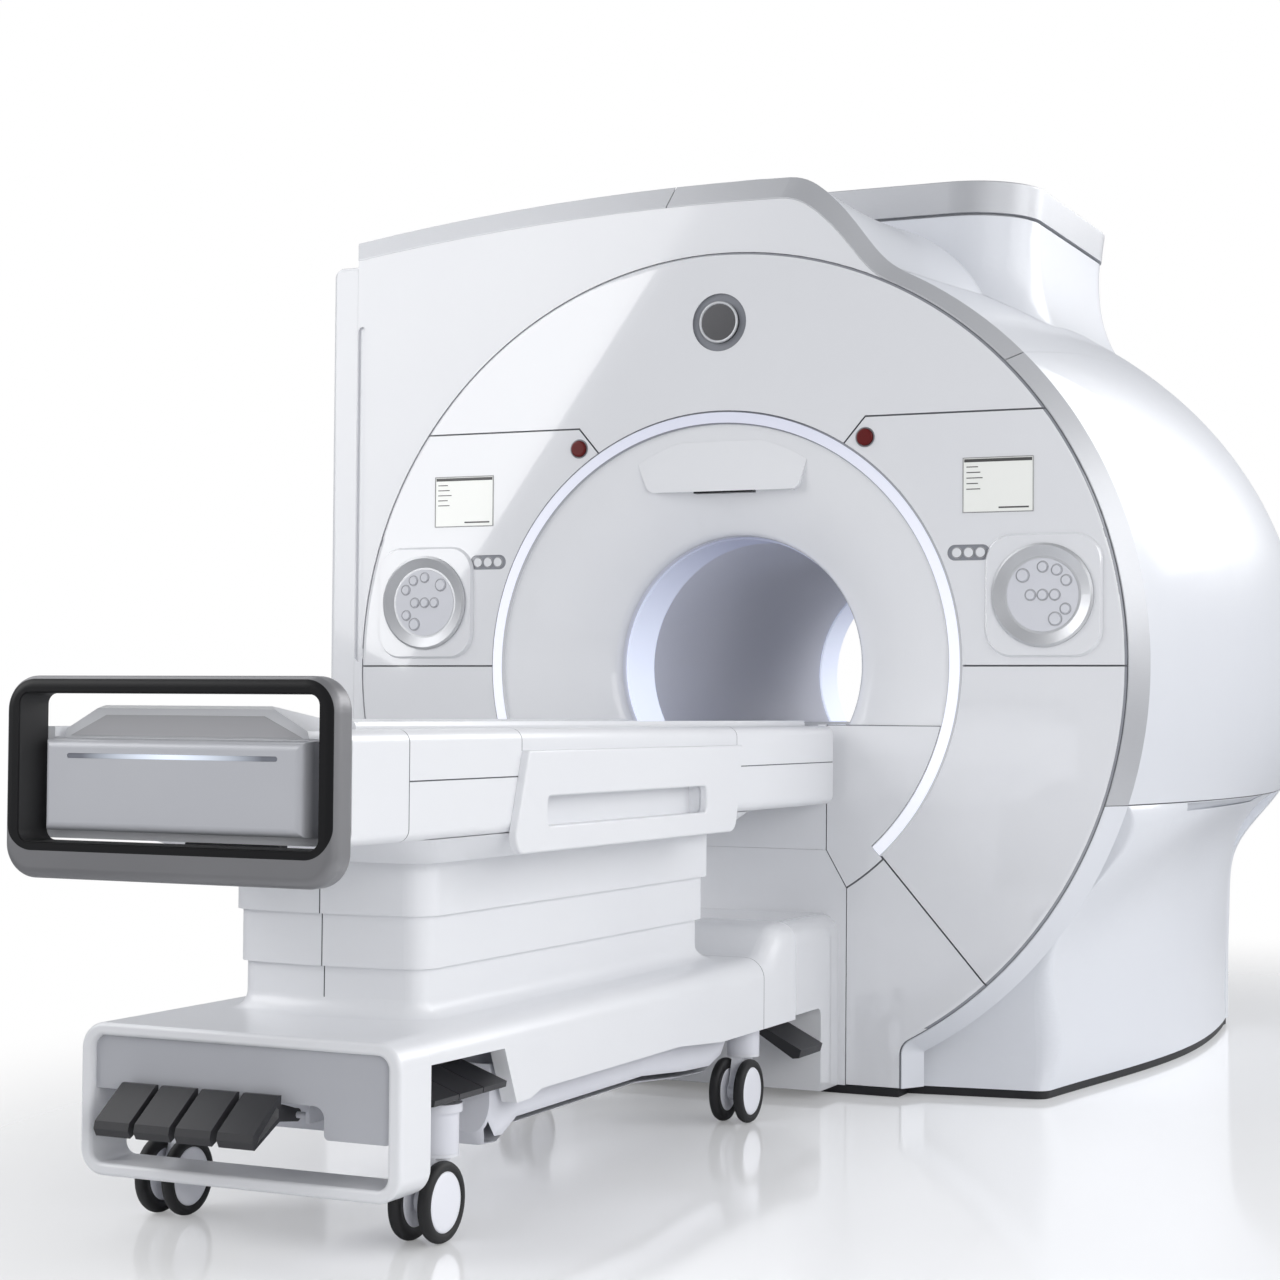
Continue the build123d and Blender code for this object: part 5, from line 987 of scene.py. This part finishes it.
@dataclass
class Studio:
    """Floor, lamps and world."""

    floor_size: float = 60.0
    floor_colour: Colour = (0.86, 0.865, 0.875)
    floor_roughness: float = 0.10
    floor_lift: float = 0.18
    fade_centre: Point = (0.9, -0.9)
    fade_scale: Point = (1.35, 0.8)
    fade_start: float = 1.8
    fade_end: float = 4.2
    world_colour: Colour = (0.94, 0.955, 1.0)
    world_strength: float = 0.33

    def floor(self) -> None:
        """Builds the glossy pale floor, which fades into the white surroundings far from the object."""
        mesh = bmesh.new()
        half = self.floor_size / 2
        mesh.faces.new([mesh.verts.new((x, y, 0)) for x, y in rectangle(-half, -half, half, half)])
        obj = mesh_object("studio_floor", mesh)
        mat = bpy.data.materials.new("studio_floor")
        mat.use_nodes = True
        tree = mat.node_tree
        shader = tree.nodes["Principled BSDF"]
        set_inputs(shader, {"Base Color": (*self.floor_colour, 1), "Roughness": self.floor_roughness,
                            "Emission Color": (1, 1, 1, 1)})
        path = tree.nodes.new("ShaderNodeLightPath")
        lift = math_node(tree, "MULTIPLY", self.floor_lift)
        place = tree.nodes.new("ShaderNodeTexCoord")
        away, scaled = vector_node(tree, "SUBTRACT"), vector_node(tree, "MULTIPLY")
        flat = vector_node(tree, "LENGTH")
        away.inputs[1].default_value = (*self.fade_centre, 0)
        scaled.inputs[1].default_value = (*self.fade_scale, 1)
        reach = tree.nodes.new("ShaderNodeMapRange")
        reach.interpolation_type = "SMOOTHSTEP"
        set_inputs(reach, {"From Min": self.fade_start, "From Max": self.fade_end,
                           "To Min": 1.0, "To Max": 0.0})
        wire(tree, (path.outputs["Is Camera Ray"], lift.inputs[0]),
             (lift.outputs[0], shader.inputs["Emission Strength"]), (place.outputs["Object"], away.inputs[0]),
             (away.outputs[0], scaled.inputs[0]), (scaled.outputs[0], flat.inputs[0]),
             (flat.outputs["Value"], reach.inputs["Value"]),
             (reach.outputs["Result"], shader.inputs["Alpha"]))
        obj.data.materials.append(mat)

    def world(self) -> None:
        """Pale surroundings, seen as pure white by the camera."""
        world = bpy.data.worlds.new("studio")
        bpy.context.scene.world = world
        world.use_nodes = True
        tree = world.node_tree
        tree.nodes.clear()
        out = tree.nodes.new("ShaderNodeOutputWorld")
        light, seen = (tree.nodes.new("ShaderNodeBackground") for _ in range(2))
        set_inputs(light, {"Color": (*self.world_colour, 1), "Strength": self.world_strength})
        set_inputs(seen, {"Color": (1, 1, 1, 1), "Strength": 1.0})
        path = tree.nodes.new("ShaderNodeLightPath")
        mix = tree.nodes.new("ShaderNodeMixShader")
        wire(tree, (path.outputs["Is Camera Ray"], mix.inputs[0]), (light.outputs[0], mix.inputs[1]),
             (seen.outputs[0], mix.inputs[2]), (mix.outputs[0], out.inputs[0]))

    def lamp(self, name: str, place: Place, target: Place, size: float, power: float,
             lean: float = 0.0) -> bpy.types.Object:
        """Adds one square soft lamp that faces a point.

        Args:
            name: Name of the lamp.
            place: Its centre.
            target: The point that it faces.
            size: Length of its side.
            power: Its power in watts.
            lean: Turn about its own axis in degrees.

        Returns:
            The lamp's object.
        """
        data = bpy.data.lights.new(name, "AREA")
        data.shape = "SQUARE"
        data.size = size
        data.energy = power
        obj = new_object(name, data)
        facing = (Vector(target) - Vector(place)).to_track_quat("-Z", "Y").to_matrix().to_4x4()
        obj.matrix_world = Matrix.Translation(place) @ facing @ Matrix.Rotation(math.radians(lean), 4, "Z")
        return obj

    def build(self) -> None:
        """Builds the studio."""
        self.floor()
        self.world()
        self.lamp("lamp_top", (-4.5, -1.0, 6.5), (0.0, -0.6, 1.0), size=5.0, power=120.0)
        self.lamp("lamp_left", (-4.56, -5.80, 3.71), (0.0, -1.0, 1.2), size=4.0, power=180.0, lean=-27.0)
        self.lamp("lamp_side", (6.5, 1.0, 3.6), (0.8, -0.3, 1.2), size=4.0, power=140.0)
        self.lamp("lamp_right", (5.8, -3.8, 3.6), (0.5, -1.5, 1.0), size=4.0, power=75.0)
        low = self.lamp("lamp_low", (4.6, -6.4, 1.4), (0.5, -1.5, 0.5), size=2.5, power=115.0)
        low.visible_glossy = False
        self.lamp("lamp_back", (4.0, 5.0, 4.5), (0.5, 0.5, 1.2), size=3.5, power=180.0)


@dataclass
class PhotoCamera:
    """Camera at the viewing angle of the photograph."""

    place: Place = (2.535776, -6.846033, 0.980400)
    yaw: float = 0.432864510
    pitch: float = 0.0282596340
    roll: float = 0.00772731891
    lens: float = 69.1424
    sensor: float = 36.0
    clip: Point = (0.1, 200.0)

    def build(self) -> None:
        """Makes the camera the scene's own."""
        data = bpy.data.cameras.new("photo_camera")
        data.sensor_width = self.sensor
        data.lens = self.lens
        data.clip_start, data.clip_end = self.clip
        obj = new_object("photo_camera", data)
        ahead = Vector((-math.sin(self.yaw) * math.cos(self.pitch), math.cos(self.yaw) * math.cos(self.pitch),
                        math.sin(self.pitch)))
        level = Vector((math.cos(self.yaw), math.sin(self.yaw), 0))
        above = level.cross(ahead)
        right = level * math.cos(self.roll) + above * math.sin(self.roll)
        up = above * math.cos(self.roll) - level * math.sin(self.roll)
        obj.matrix_world = Matrix.Translation(self.place) @ Matrix((right, up, -ahead)).transposed().to_4x4()
        bpy.context.scene.camera = obj


def main() -> None:
    """Builds every sub-assembly in order."""
    logging.basicConfig(level=logging.INFO, format="%(message)s")
    CadDressing().apply()
    for part in (Consoles(), BlankBadge(), HandleLining(), FootEnd(), Casters(), AlignmentWindow(), Studio(),
                 PhotoCamera()):
        part.build()
        LOG.info("built %s", type(part).__name__)
    bpy.context.scene.view_settings.view_transform = "Standard"
    bpy.context.view_layer.update()


if __name__ == "__main__":
    main()
